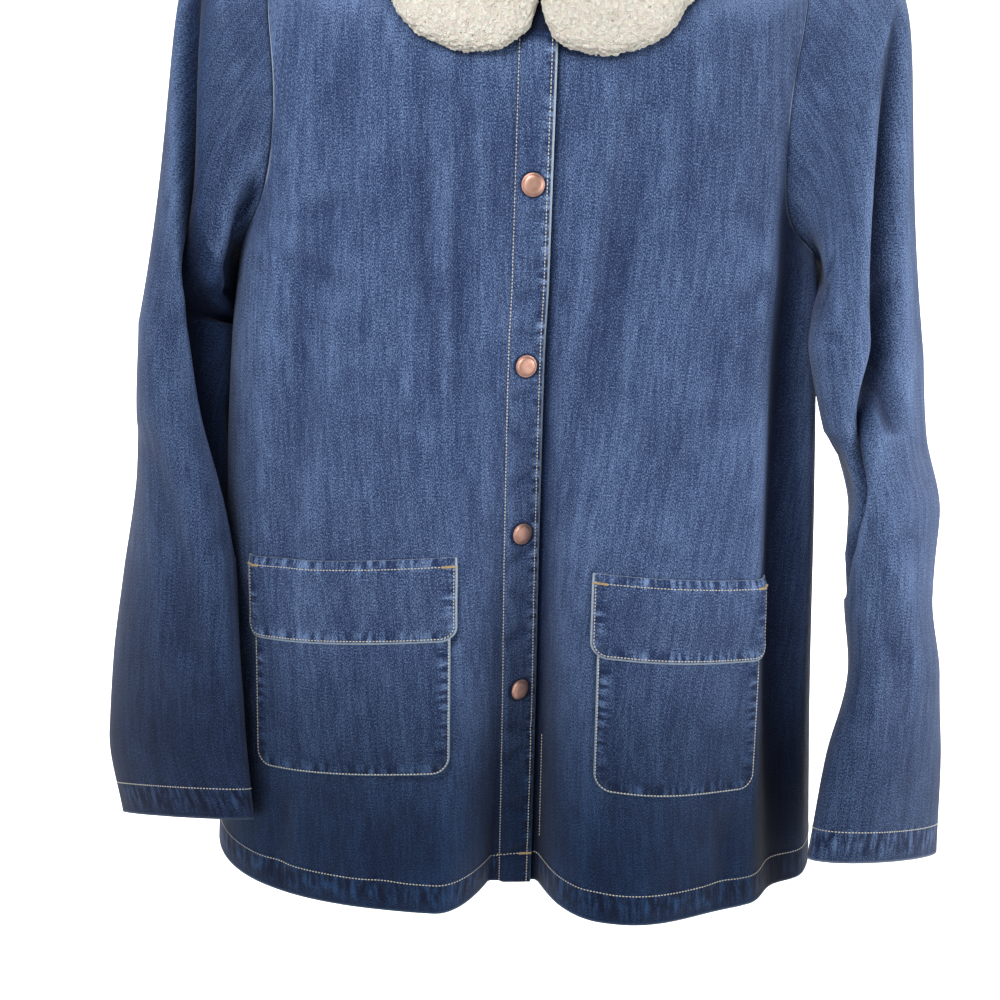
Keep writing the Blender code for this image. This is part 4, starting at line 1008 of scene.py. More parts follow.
def denim(name, dark, light, edge_fade, band, pucker_reach, hem_shade=1.0):
    """Washed denim: grains of twill, faint streaks, ridges paler with painted highlight and wear, valleys
    darker with painted shade, a worn edge, and roped marks that fade out past the band. Painted shade makes
    it deeper towards the hem and in shaded folds."""
    tree = Shader(name)
    grain, slub, streak, cloud = [tree.weave(kind) for kind in (GRAIN, SLUB, STREAK, CLOUD)]
    rim = tree.node("ShaderNodeUVMap", {"uv_map": "rim"})[0]
    _, from_edge, _ = tree.node("ShaderNodeSeparateXYZ", None, {"Vector": rim})
    ropes = tree.speckle(tree.cloth_map("rim", 1.0, ROPES.along), ROPES.scale, ROPES.detail, 0.6)
    near = from_edge.between(0.0, band * 0.6) * (1.0 - from_edge.between(band * 0.9, band + pucker_reach))
    marks = (ropes - 0.5) * near
    # The hollow attribute gives painted shade in valleys and painted highlight with wear on ridges.
    tint = ((grain - 0.5) * GRAIN.amount + (slub - 0.5) * SLUB.amount + (streak - 0.5) * STREAK.amount
            + (cloud - 0.5) * CLOUD.amount + marks * ROPES.amount
            - tree.attribute("hollow") * HOLLOW_AMOUNT + MIDDLE_FADE)
    colour = tree.mix(tint.between(*FADE_SPAN), dark, light)
    worn = 1.0 - from_edge.between(EDGE_WEAR * 0.45, EDGE_WEAR)
    seam = tree.attribute("seam")
    rubbed = (1.0 - seam.between(0.0004, SEAM_WEAR)) * cloud.between(0.42, 0.60) * 0.7
    colour = tree.mix((worn * edge_fade + rubbed) * (grain * 0.9 + 0.45), colour, EDGE_COLOUR)
    # Painted shade: the denim is darker towards the hem.
    _, _, height = tree.node("ShaderNodeSeparateXYZ", None, {"Vector": tree.spot()})
    deep = (1.0 - height.between(HEM_SHADE_END, HEM_SHADE_TOP)) * hem_shade
    colour = tree.mix(deep, colour, HEM_SHADE_TINT, "MULTIPLY")
    # Painted shade from the shade attribute, laid on up to twice over.
    shade = tree.attribute("shade")
    for least in (0.0, 1.0):
        colour = tree.mix(shade.between(least, least + 1.0), colour, FOLD_SHADE_TINT, "MULTIPLY")
    bump = grain * 0.00014 + slub * 0.00006 + ropes * near * 0.0014
    return tree.finish(colour, 0.82, bump, 0.8, Sheen_Weight=0.10, Sheen_Roughness=0.5,
                       Specular_IOR_Level=0.2)


CURL_BEND = 0.0052  # how far the cells of the pile are bent about
CURL_CELLS = {"Scale": 330.0, "Smoothness": 0.15}


def fleece(name, colour, shade):
    """Curly wool pile, warmer and darker with painted shade deep between its curls."""
    tree = Shader(name)
    place = tree.spot()
    curl = tree.speckle(place, 900.0, 2.0, 0.6)
    tuft = tree.speckle(place, 160.0, 2.0, 0.5)
    sway = tree.node("ShaderNodeTexNoise", None, {"Vector": place, "Scale": 520.0, "Detail": 3.0})[1]
    bent = tree.node("ShaderNodeVectorMath", {"operation": "MULTIPLY_ADD"},
                     {0: sway, 1: (CURL_BEND, CURL_BEND, CURL_BEND), 2: place})[0]
    cells = tree.node("ShaderNodeTexVoronoi", {"feature": "SMOOTH_F1"}, {"Vector": bent, **CURL_CELLS})
    nub = 1.0 - cells[0].between(0.18, 0.78)
    # Painted shade: the low pile between the curls, with the curls' own tone, leans to the shade colour.
    lit = tree.attribute("pile") * 0.30 + nub * 0.60 + curl * 0.20 + tuft * 0.15
    tinted = tree.mix(lit.between(0.08, 0.70), shade, colour)
    return tree.finish(tinted, 0.95, nub * 0.0011 + curl * 0.0004, 0.8, Sheen_Weight=0.35,
                       Sheen_Roughness=0.6, Specular_IOR_Level=0.1, Subsurface_Weight=0.12,
                       Subsurface_Scale=0.003)


def copper(name, colour):
    """Satin copper-coloured metal with fine scuffs."""
    tree = Shader(name)
    place = tree.spot()
    scuff = tree.speckle(place, 900.0, 4.0, 0.7)
    patina = tree.speckle(place, 160.0, 2.0, 0.5)
    dull = (colour[0] * 0.62, colour[1] * 0.58, colour[2] * 0.58)
    tinted = tree.mix(patina.between(0.35, 0.75) * 0.6, colour, dull)
    return tree.finish(tinted, 0.42 + scuff * 0.22, scuff * 0.00004, 0.5, Metallic=1.0)


def thread(name, colour):
    """Twisted cotton thread."""
    tree = Shader(name)
    twist = tree.speckle(tree.spot(), 1500.0, 1.0, 0.5)
    low = tuple(part * 0.6 for part in colour)
    return tree.finish(tree.mix(twist, low, colour), 0.8, None, Sheen_Weight=0.2)


# ---------------------------------------------------------------- objects
def place_object(name, data):
    """An object at the origin with this mesh, light or camera."""
    made = bpy.data.objects.new(name, data)
    bpy.context.scene.collection.objects.link(made)
    return made


def plain_mesh(name, points, edges, faces):
    """A mesh from lists of points, edges and faces."""
    mesh = bpy.data.meshes.new(name)
    mesh.from_pydata(points, edges, faces)
    return mesh


def add_object(name, mesh, materials):
    """A smooth-shaded object at the origin with its materials."""
    mesh.shade_smooth()
    for material in materials:
        mesh.materials.append(material)
    return place_object(name, mesh)


def built_object(name, built, material):
    """An object from a mesh that was built face by face."""
    data = bpy.data.meshes.new(name)
    built.to_mesh(data)
    built.free()
    return add_object(name, data, [material])


def grid_faces(rows, columns, wrap):
    """Corner numbers of a grid's quads."""
    row, column = np.meshgrid(np.arange(rows - 1), np.arange(columns if wrap else columns - 1), indexing="ij")
    after = (column + 1) % columns
    quads = np.stack([row * columns + column, row * columns + after, (row + 1) * columns + after,
                      (row + 1) * columns + column], axis=-1)
    return quads.reshape(-1, 4)


def cloth_object(name, cloth, materials, wall, double_wall=None, double_reach=0.0):
    """A sheet with its UV maps, given a wall inside its outer face. Its cloth is doubled up to
    double_reach from its finished edge."""
    rows, columns = cloth.points.shape[:2]
    faces = grid_faces(rows, columns, cloth.wrap)
    mesh = plain_mesh(name, cloth.points.reshape(-1, 3).tolist(), [], faces.tolist())
    for layer, values in (("cut", cloth.cut), ("rim", cloth.rim)):
        flat = values.reshape(-1, 2)[faces.reshape(-1)]
        if cloth.wrap:
            corners = flat.reshape(-1, 4, 2)
            jump = np.ptp(corners[..., 0], axis=1) > 0.5 * cloth.girths.min()
            fix = jump[:, None] & (corners[..., 0] < 0.0)
            corners[..., 0] += np.where(fix, cloth.girths[faces // columns], 0.0)
            flat = corners.reshape(-1, 2)
        mesh.uv_layers.new(name=layer).data.foreach_set("uv", flat.astype(np.float32).ravel())
    for kind, values in (("hollow", cloth.hollow()), ("seam", cloth.seam), ("shade", cloth.shade)):
        attribute = mesh.attributes.new(kind, "FLOAT", "POINT")
        attribute.data.foreach_set("value", values.astype(np.float32).ravel())
    made = add_object(name, mesh, materials)
    solid = made.modifiers.new("Wall", "SOLIDIFY")
    solid.offset = -1.0
    solid.thickness = wall
    solid.material_offset = 1 if len(materials) > 1 else 0
    if double_wall:
        group = made.vertex_groups.new(name="layers")
        distance = cloth.rim[..., 1].reshape(-1)
        for index in np.nonzero(distance < double_reach)[0]:
            group.add([int(index)], 1.0, "REPLACE")
        solid.thickness = double_wall
        solid.vertex_group = "layers"
        solid.thickness_vertex_group = wall / double_wall
    return applied(made)


def hemmed_object(name, cloth, materials):
    """A sheet whose finished edge is turned up."""
    sizes = bpy.context.scene.jacket_cloth
    return cloth_object(name, cloth, materials, sizes.wall, sizes.turned_wall, sizes.hem)


def applied(made):
    """Turn an object's modifiers into plain mesh."""
    graph = bpy.context.evaluated_depsgraph_get()
    mesh = bpy.data.meshes.new_from_object(made.evaluated_get(graph), depsgraph=graph)
    made.modifiers.clear()
    made.data = mesh
    return made


shapes = {}  # the fronts and sleeves, kept for what is laid on them


def ride(made, nodes, flat=None, area=None):
    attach(made, "root")
    if nodes:
        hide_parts(*nodes)
    return made


def front_of(name):
    """A front panel by name, made once."""
    if name not in shapes:
        side, pocket, tuck = {"right": (-1.0, RIGHT_POCKET, 0.0), "left": (1.0, LEFT_POCKET, LAYER)}[name]
        shapes[name] = front_panel(side, pocket, tuck)
    return shapes[name]


# Painted shade on the fronts: how much darker they are under and beside the pieces that lie on them.
COLLAR_SHADE = Swell(0.7, -0.003, 0.016)  # painted shadow below the collar's edge
LOBE_SHADE = Swell(1.7, -0.104, 0.012)  # painted shadow from this level up between the collar's lobes
LOBE_HALF = 0.040
POCKET_SHADE = Swell(0.55, 0.0005, 0.0045)  # painted shadow just outside a pocket's or flap's edges
OUTER_SHADE = Swell(0.50, 0.160, 0.034)  # painted shade on the left front towards its side
OUTER_TOP, OUTER_FALL = -0.300, 0.160  # where that starts, and how far down it takes
BESIDE_SHADE = 0.7  # painted shadow beside the placket, with its reach at three levels
BESIDE_LEVELS = [HEM_LEVEL, -0.56, -0.20]
BESIDE_REACHES = [0.011, 0.009, 0.007]
MOST_SHADE = 0.80  # the most that all of these come to, but for the collar's


def under_collar(along, level):
    """Painted shadow under the collar's edge, deepest in the gap between its two lobes."""
    rounds, levels = [edge.round for edge in COLLAR_EDGE], [edge.level for edge in COLLAR_EDGE]
    edge = np.interp(np.abs(along) / quarter_length(level), rounds, levels)
    below = COLLAR_SHADE.size * (1.0 - ease((edge - level - COLLAR_SHADE.start) / COLLAR_SHADE.reach))
    gap = ease((level - LOBE_SHADE.start) / LOBE_SHADE.reach)
    return below + LOBE_SHADE.size * gap * swell(along / LOBE_HALF)


def darken_beside(panel, side):
    """Paint shade on a front panel under the collar and beside its pocket and, on the left one, beside the
    placket and towards the side."""
    for name, patch in patches().items():
        if name.startswith(side):
            outside = -patch.edge_distance(panel.along, panel.level)
            beside = POCKET_SHADE.size * swell((outside - POCKET_SHADE.start) / POCKET_SHADE.reach)
            panel.shade = panel.shade + np.where(panel.level < patch.top, beside, 0.0)
    if side == "left":
        outer = ease((panel.along - OUTER_SHADE.start) / OUTER_SHADE.reach)
        outer = outer * ease((OUTER_TOP - panel.level) / OUTER_FALL)
        panel.shade = panel.shade + OUTER_SHADE.size * outer
        reach = np.interp(panel.level, BESIDE_LEVELS, BESIDE_REACHES)
        panel.shade = panel.shade + BESIDE_SHADE * swell((panel.along - PLACKET_HALF) / reach)
    panel.shade = np.minimum(panel.shade, MOST_SHADE) + under_collar(panel.along, panel.level)


def patches():
    """The pockets and flaps, by the name of their node."""
    found = {}
    for side, sign, pocket in (("right", -1.0, RIGHT_POCKET), ("left", 1.0, LEFT_POCKET)):
        near, far = sorted((sign * pocket.near, sign * pocket.far))
        panel = front_of(side)
        found[side + "_pocket"] = Patch(panel, near, far, POCKET_TOP, POCKET_END, POCKET_CORNER,
                                        lambda level: np.full_like(level, LAYER))
        found[side + "_pocket_flap"] = Patch(
            panel, near - FLAP_OVERHANG, far + FLAP_OVERHANG, FLAP_TOP, FLAP_END, FLAP_CORNER,
            lambda level: LAYER * (1.1 + 1.15 * ease((FLAP_TOP + 0.003 - level) / 0.012)
                                   + 0.5 * ease((FLAP_END + 0.018 - level) / 0.018)))
    return found


PLACKET_COLUMN_STEPS = 23
PLACKET_ROW_STEPS = 361
PLACKET_TURN = 0.86  # how closely its columns crowd towards its edges
PLACKET_FLUSH = 0.0050  # width over which it rises from the front at its seam
PLACKET_ROLL = Swell(0.45, 0.0, 0.0014)  # part of its height that its free edge loses
PLACKET_GROOVE = Swell(0.0004, 0.0, 0.0008)  # the grooves of its stitching
PLACKET_CREASING = 1.9  # how much deeper its creases are than listed
SNAP_SHADE = Swell(1.0, 0.0080, 0.0022)  # painted shadow round a snap, by distance from its middle


def placket_height(along, level):
    """Height of the placket above the right front: flush at its seam and rolled at its free edge."""
    flush = ease((along + PLACKET_HALF) / PLACKET_FLUSH)
    rolled = 1.0 - PLACKET_ROLL.size * (1.0 - ease((PLACKET_HALF - along) / PLACKET_ROLL.reach))
    groove = sum(PLACKET_GROOVE.size * np.exp(-((along - place) / PLACKET_GROOVE.reach) ** 2)
                 for place in PLACKET_SEAMS)
    creased = PLACKET_CREASING * crease_depth(PLACKET_CREASES, along, level)
    return (0.0001 + LAYER * flush) * rolled - groove - creased


COLLAR_SECTIONS = 300  # sections of the collar from its front edge to the centre back
COLLAR_STEPS = 11  # points of a section for each of its knots
COLLAR_CROWDING = 1.15  # how much closer the sections stand at the front
COLLAR_CLEAR = 0.0012  # clearance between the collar and the body
NUB_SPACING = 0.0030  # distance from one curl of the pile to the next
NUB_RELIEF = 0.0022  # height of a curl above the crevice beside it
FINE_NUBS = 1.9  # how much finer the small curls on the curls are
LARGE_SHARE = 0.75  # part of the height that the large curls make
BEND_SCALE = 260.0  # what bends the curls about: its scale, how far it goes and its seed
BEND_REACH = 0.0011
BEND_SEED = 7  # never 0, which takes the time of day


# ---------------------------------------------------------------- settings
class JacketCloth(bpy.types.PropertyGroup):
    """Sizes and colours of the jacket's cloth."""
    wall: bpy.props.FloatProperty(
        name="Denim wall", description="Thickness of one layer of denim",
        default=0.0013, min=0.0005, max=0.003, subtype="DISTANCE")
    turned_wall: bpy.props.FloatProperty(
        name="Turned edge", description="Thickness of a hem or cuff where the cloth is turned up",
        default=0.0024, min=0.001, max=0.005, subtype="DISTANCE")
    hem: bpy.props.FloatProperty(
        name="Hem depth", description="Distance from the hem's edge to its stitching",
        default=0.0235, min=0.01, max=0.05, subtype="DISTANCE")
    dark: bpy.props.FloatVectorProperty(
        name="Dark indigo", description="Colour of the least faded denim",
        default=(0.0150, 0.0320, 0.1030), subtype="COLOR", min=0.0, max=1.0)
    light: bpy.props.FloatVectorProperty(
        name="Faded indigo", description="Colour of the most faded denim",
        default=(0.2250, 0.3400, 0.6000), subtype="COLOR", min=0.0, max=1.0)
    inside: bpy.props.FloatVectorProperty(
        name="Wrong side", description="Colour of the denim's weft on the inside",
        default=(0.1500, 0.1900, 0.2700), subtype="COLOR", min=0.0, max=1.0)


class JacketFleece(bpy.types.PropertyGroup):
    """Sizes and colours of the fleece collar."""
    depth: bpy.props.FloatProperty(
        name="Pile depth", description="Depth of the fleece with its backing",
        default=0.0068, min=0.003, max=0.015, subtype="DISTANCE")
    curl: bpy.props.FloatProperty(
        name="Curl size", description="Radius of one loose curl of the pile",
        default=0.0009, min=0.0005, max=0.005, subtype="DISTANCE")
    density: bpy.props.FloatProperty(
        name="Curls per square metre", description="How many loose curls cover a square metre",
        default=34000.0, min=1000.0, max=150000.0)
    colour: bpy.props.FloatVectorProperty(
        name="Pile", description="Colour of the pile's tips",
        default=(0.88, 0.83, 0.73), subtype="COLOR", min=0.0, max=1.0)
    # The colour of the painted shade deep between the curls.
    shade: bpy.props.FloatVectorProperty(
        name="Deep pile", description="Colour between the curls",
        default=(0.66, 0.60, 0.50), subtype="COLOR", min=0.0, max=1.0)


class JacketTrim(bpy.types.PropertyGroup):
    """Sizes and colours of the snaps and threads."""
    snap_radius: bpy.props.FloatProperty(
        name="Snap rim", description="Radius of a snap's rim",
        default=0.0077, min=0.004, max=0.012, subtype="DISTANCE")
    copper: bpy.props.FloatVectorProperty(
        name="Copper", description="Colour of the snap caps",
        default=(0.78, 0.47, 0.37), subtype="COLOR", min=0.0, max=1.0)
    pitch: bpy.props.FloatProperty(
        name="Stitch pitch", description="Distance from one stitch to the next",
        default=0.0024, min=0.001, max=0.006, subtype="DISTANCE")
    thread_radius: bpy.props.FloatProperty(
        name="Thread radius", description="Half of the thickness of the thread",
        default=0.00044, min=0.0001, max=0.001, subtype="DISTANCE")
    cream: bpy.props.FloatVectorProperty(
        name="Cream thread", description="Colour of the topstitching",
        default=(0.86, 0.83, 0.72), subtype="COLOR", min=0.0, max=1.0)
    gold: bpy.props.FloatVectorProperty(
        name="Golden thread", description="Colour of the hem and bar-tack thread",
        default=(0.68, 0.50, 0.25), subtype="COLOR", min=0.0, max=1.0)


# ---------------------------------------------------------------- operators
def denim_pair(name, band, reach, edge_fade=0.5, hem_shade=1.0):
    """The right and wrong side of a piece's denim."""
    cloth = bpy.context.scene.jacket_cloth
    low = tuple(part * 0.45 for part in cloth.inside)
    high = tuple(part * 1.5 for part in cloth.inside)
    return [denim(name + "_denim", tuple(cloth.dark), tuple(cloth.light), edge_fade, band, reach, hem_shade),
            denim(name + "_inside", low, high, 0.3, band, reach)]


class JACKET_OT_fronts(bpy.types.Operator):
    """Make the two front panels."""
    bl_idname = "jacket.fronts"
    bl_label = "Fronts"

    def execute(self, context):
        """Build both panels on the body's surface."""
        cloth = context.scene.jacket_cloth
        materials = denim_pair("body", cloth.hem, 0.004)
        for side in ("right", "left"):
            darken_beside(front_of(side), side)
            made = hemmed_object("front_" + side + "_cloth", front_of(side), materials)
            ride(made, ["front_" + side], (0.30, 0.72), 0.208)
        return {"FINISHED"}


class JACKET_OT_back(bpy.types.Operator):
    """Make the back panel."""
    bl_idname = "jacket.back"
    bl_label = "Back"

    def execute(self, context):
        """Build the back on the body's surface."""
        cloth = context.scene.jacket_cloth
        made = hemmed_object("back_cloth", back_panel(), denim_pair("back", cloth.hem, 0.004))
        ride(made, ["back"], (0.58, 0.72), 0.347)
        return {"FINISHED"}


class JACKET_OT_sleeves(bpy.types.Operator):
    """Make the two sleeves."""
    bl_idname = "jacket.sleeves"
    bl_label = "Sleeves"

    def execute(self, context):
        """Build each sleeve from its armhole to its cuff."""
        cloth = context.scene.jacket_cloth
        # The sleeves take less of the painted shade towards the hem.
        materials = denim_pair("sleeve", cloth.hem, 0.004, hem_shade=0.3)
        for name, shape in (
                ("sleeve_right", sleeve_cloth(RIGHT_SLEEVE, RIGHT_SLEEVE_FOLDS, RIGHT_CREASES,
                                              RIGHT_HEAD, -1.0, RIGHT_SLEEVE_SHADING)),
                ("sleeve_left", sleeve_cloth(LEFT_SLEEVE, LEFT_SLEEVE_FOLDS, LEFT_CREASES,
                                             LEFT_HEAD, 1.0, LEFT_SLEEVE_SHADING))):
            shapes[name] = shape
            made = hemmed_object(name + "_cloth", shape, materials)
            ride(made, [name + "_front", name + "_back"], (0.42, 0.64), 0.185)
        return {"FINISHED"}


class JACKET_OT_placket(bpy.types.Operator):
    """Make the doubled band down the right front's edge."""
    bl_idname = "jacket.placket"
    bl_label = "Placket"

    def execute(self, context):
        """Build the band on the right front's own points."""
        panel = front_of("right")
        turn = np.linspace(-1.0, 1.0, PLACKET_COLUMN_STEPS) * 0.5 * math.pi * PLACKET_TURN
        along = PLACKET_HALF * np.sin(turn) / math.sin(0.5 * PLACKET_TURN * math.pi)
        level = np.linspace(HEM_LEVEL, NECK_LEVEL, PLACKET_ROW_STEPS)
        along, level = np.meshgrid(along, level)
        points, _, cut = panel.read(along, level, placket_height(along, level))
        rim = np.stack([cut[..., 1], PLACKET_HALF - along], axis=-1)
        band = Cloth(points, cut, rim)
        # Painted shadow under the collar and in a ring round each snap.
        band.shade = under_collar(along, level)
        for index in range(SNAP_COUNT):
            away = np.hypot(along, level - (TOP_SNAP_LEVEL - index * SNAP_PITCH))
            band.shade = band.shade + 1.0 - ease((away - SNAP_SHADE.start) / SNAP_SHADE.reach)
        made = cloth_object("placket_band", band, denim_pair("placket", 0.003, 0.007, 1.0), 0.0011)
        ride(made, ["placket"], (0.030, 0.68), 0.0188)
        return {"FINISHED"}


class JACKET_OT_pockets(bpy.types.Operator):
    """Make the patch pockets and their flaps."""
    bl_idname = "jacket.pockets"
    bl_label = "Pockets"

    def execute(self, context):
        """Build each piece on its front's own points."""
        cloth = context.scene.jacket_cloth
        materials = denim_pair("pocket", 0.003, 0.010, 0.9)
        for name, patch in patches().items():
            flap = name.endswith("flap")
            made = cloth_object(name + "_cloth", patch.cloth(78, 38 if flap else 76), materials, cloth.wall)
            width, length = patch.far - patch.near, patch.top - patch.end
            ride(made, [name], (width + 0.002, length + 0.004), 0.95 * width * length)
        return {"FINISHED"}


class JACKET_OT_collar(bpy.types.Operator):
    """Make the fleece collar."""
    bl_idname = "jacket.collar"
    bl_label = "Collar"

    def execute(self, context):
        """Build the collar's body and cover it with curls."""
        settings = context.scene.jacket_fleece
        pile = fleece("fleece_pile", tuple(settings.colour), tuple(settings.shade))
        body = collar_body(settings, pile)
        ends = fleece("fleece_ends", tuple(settings.colour), tuple(settings.colour))
        curls = collar_curls(settings, ends)
        ride(curls, None)
        ride(body, ["collar"], (0.56, 0.105), 0.050)
        return {"FINISHED"}


def collar_spots(settings):
    """The collar's smooth form as a grid of points: sections round the neck by points round each."""
    rounds = [edge.round for edge in COLLAR_EDGE]
    levels = [edge.level for edge in COLLAR_EDGE]
    half = [rounds[0] + (rounds[-1] - rounds[0]) * (index / COLLAR_SECTIONS) ** COLLAR_CROWDING
            for index in range(COLLAR_SECTIONS + 1)]
    places = np.array(half + [4.0 - place for place in half[-2::-1]])
    folded = np.minimum(places, 4.0 - places)
    edge = np.array([smooth(place, rounds, levels) for place in folded])
    loop = closed_curve([(point.across, point.depth) for point in COLLAR_LOOP], COLLAR_STEPS)
    level = NECK_LEVEL + (edge - NECK_LEVEL)[:, None] * loop[None, :, 0]
    place = np.broadcast_to(places[:, None], level.shape)
    along = folded[:, None] * quarter_length(level)
    over_placket = LAYER * ease((0.030 - along) / 0.012)
    over_shoulder = 0.0015 * swell((folded[:, None] - 1.0) / 0.2)
    lift = COLLAR_CLEAR + over_placket + over_shoulder + loop[None, :, 1] * settings.depth
    step_place, step_level = 0.02, 0.004
    beside = body_points(place + step_place, level) - body_points(place - step_place, level)
    upper, lower = np.minimum(level + step_level, NECK_LEVEL), np.minimum(level, NECK_LEVEL) - step_level
    normal = unit(np.cross(beside, body_points(place, upper) - body_points(place, lower)))
    spots = body_points(place, level) + normal * lift[..., None]
    spots[..., 2] += 0.006 * (1.0 - ease(loop[None, :, 0] / 0.4)) * loop[None, :, 1]
    return spots


def nub_height(spot):
    """Height of the pile at a spot, from 0 in a crevice to 1 on a curl: uneven cells, bent about."""
    bent = spot + noise.noise_vector(spot * BEND_SCALE) * BEND_REACH
    near, second = noise.voronoi(bent / NUB_SPACING)[0][:2]
    small, next_small = noise.voronoi(bent * FINE_NUBS / NUB_SPACING)[0][:2]
    large, fine = min((second - near) / 0.42, 1.0) ** 0.6, min((next_small - small) / 0.5, 1.0)
    return large * LARGE_SHARE + fine * (1.0 - LARGE_SHARE)


def collar_body(settings, pile):
    """The collar as one closed form, covered in curls of pile."""
    noise.seed_set(BEND_SEED)
    spots = collar_spots(settings)
    rows, columns = spots.shape[:2]
    mesh = bmesh.new()
    points = [[mesh.verts.new(spot) for spot in row] for row in spots]
    for row in range(rows - 1):
        for column in range(columns):
            after = (column + 1) % columns
            mesh.faces.new([points[row][column], points[row][after], points[row + 1][after],
                            points[row + 1][column]])
    mesh.faces.new(points[0][::-1])
    mesh.faces.new(points[-1])
    bmesh.ops.recalc_face_normals(mesh, faces=mesh.faces[:])
    mesh.normal_update()
    layer = mesh.verts.layers.float.new("pile")
    for vertex in mesh.verts:
        height = nub_height(vertex.co)
        soft = noise.noise(vertex.co * 95.0) * 0.0009 + noise.noise(vertex.co * 38.0) * 0.0007
        vertex[layer] = height
        vertex.co += vertex.normal * (soft + (height - 0.45) * NUB_RELIEF)
    return built_object("collar_fleece", mesh, pile)


def closed_curve(knots, steps):
    """A smooth closed curve through the knots."""
    knots = np.asarray(knots, float)
    before, after, later = [np.roll(knots, turn, axis=0) for turn in (1, -1, -2)]
    bend = 2.0 * before - 5.0 * knots + 4.0 * after - later
    twist = 3.0 * knots - before - 3.0 * after + later
    curve = []
    for t in np.arange(steps) / steps:
        curve.append(0.5 * (2.0 * knots + (after - before) * t + bend * t ** 2 + twist * t ** 3))
    return np.stack(curve, axis=1).reshape(-1, knots.shape[1])


class NodeTree:
    """A Geometry Nodes tree with named inputs."""

    def __init__(self, name):
        self.group = bpy.data.node_groups.new(name, "GeometryNodeTree")
        self.sockets = {}
        self.add_input("Geometry", "NodeSocketGeometry")
        self.group.interface.new_socket(name="Geometry", in_out="OUTPUT", socket_type="NodeSocketGeometry")
        self.start = self.group.nodes.new("NodeGroupInput")
        self.end = self.group.nodes.new("NodeGroupOutput")

    def add_input(self, name, kind):
        """Add a named input and remember its identifier."""
        made = self.group.interface.new_socket(name=name, in_out="INPUT", socket_type=kind)
        self.sockets[name] = made.identifier

    def link(self, source, output, target, name):
        """Link one node's output to another's input."""
        self.group.links.new(source.outputs[output], target.inputs[name])

    def node(self, kind, settings=None, inputs=None):
        """Add a node: its settings first, then its inputs as values or (node, output) pairs."""
        made = self.group.nodes.new(kind)
        choose(made, settings)
        for name, value in (inputs or {}).items():
            if isinstance(value, tuple) and isinstance(value[0], bpy.types.Node):
                self.link(value[0], value[1], made, name)
            else:
                made.inputs[name].default_value = value
        return made

    def finish(self, placed):
        """Make the placed copies real, smooth and of the given material, and end the tree."""
        real = self.node("GeometryNodeRealizeInstances", None, {"Geometry": (placed, "Instances")})
        smoothed = self.node("GeometryNodeSetShadeSmooth", None, {"Geometry": (real, "Geometry")})
        coat = self.node("GeometryNodeSetMaterial", None,
                         {"Geometry": (smoothed, "Geometry"), "Material": (self.start, "Material")})
        self.link(coat, "Geometry", self.end, "Geometry")

    def run(self, made, values):
        """Apply the tree to an object with these input values, and keep the plain mesh."""
        modifier = made.modifiers.new("Tree", "NODES")
        modifier.node_group = self.group
        for name, value in values.items():
            modifier[self.sockets[name]] = value
        return applied(made)


CURL_SEED = 7
CURL_SKIPS = (5, 4)  # the curls grow on every fifth section and every fourth point of the collar


def collar_curls(settings, pile):
    """Loose ends of the curls, set all over the collar so that its edge is fuzzy."""
    tree = NodeTree("Fleece curls")
    for name, kind in (("Density", "NodeSocketFloat"), ("Size", "NodeSocketFloat"), ("Seed", "NodeSocketInt"),
                       ("Material", "NodeSocketMaterial")):
        tree.add_input(name, kind)
    start = tree.start
    spread = tree.node("GeometryNodeDistributePointsOnFaces", {"distribute_method": "RANDOM"},
                       {"Mesh": (start, "Geometry"), "Density": (start, "Density"), "Seed": (start, "Seed")})
    arc = tree.node("GeometryNodeCurveArc", {"mode": "RADIUS"},
                    {"Resolution": 5, "Radius": (start, "Size"), "Sweep Angle": 3.4})
    thin = tree.node("ShaderNodeMath", {"operation": "MULTIPLY"}, {0: (start, "Size"), 1: 0.42})
    ring = tree.node("GeometryNodeCurvePrimitiveCircle", {"mode": "RADIUS"},
                     {"Resolution": 4, "Radius": (thin, "Value")})
    curl = tree.node("GeometryNodeCurveToMesh", None,
                     {"Curve": (arc, "Curve"), "Profile Curve": (ring, "Curve"), "Fill Caps": True})
    turn = tree.node("FunctionNodeRandomValue", {"data_type": "FLOAT_VECTOR"}, {"Max": (6.28, 6.28, 6.28)})
    size = tree.node("FunctionNodeRandomValue", {"data_type": "FLOAT_VECTOR"},
                     {"Min": (0.6, 0.6, 0.6), "Max": (1.25, 1.25, 1.25)})
    place = tree.node("GeometryNodeInstanceOnPoints", None,
                      {"Points": (spread, "Points"), "Instance": (curl, "Mesh"), "Rotation": (turn, "Value"),
                       "Scale": (size, "Value")})
    tree.finish(place)
    spots = collar_spots(settings)[::CURL_SKIPS[0], ::CURL_SKIPS[1]]
    rows, columns = spots.shape[:2]
    mesh = plain_mesh("collar_curls", spots.reshape(-1, 3).tolist(), [],
                      grid_faces(rows, columns, True).tolist())
    made = place_object("collar_curls", mesh)
    return tree.run(made, {"Density": settings.density, "Size": settings.curl, "Seed": CURL_SEED,
                           "Material": pile})


class JACKET_OT_snaps(bpy.types.Operator):
    """Make the snap caps."""
    bl_idname = "jacket.snaps"
    bl_label = "Snaps"

    def execute(self, context):
        """Turn each cap on its axis and seat it on the placket."""
        trim = context.scene.jacket_trim
        metal = copper("copper_caps", tuple(trim.copper))
        panel = front_of("right")
        for index in range(SNAP_COUNT):
            level = TOP_SNAP_LEVEL - index * SNAP_PITCH
            seat, normal, _ = panel.read(np.array([0.0]), np.array([level]), np.array([LAYER + SNAP_CLEAR]))
            name = "snap_%d" % (index + 1)
            made = snap_cap(name + "_cap", Vector(seat[0]), Vector(normal[0]), trim.snap_radius, metal)
            ride(made, [name])
        return {"FINISHED"}


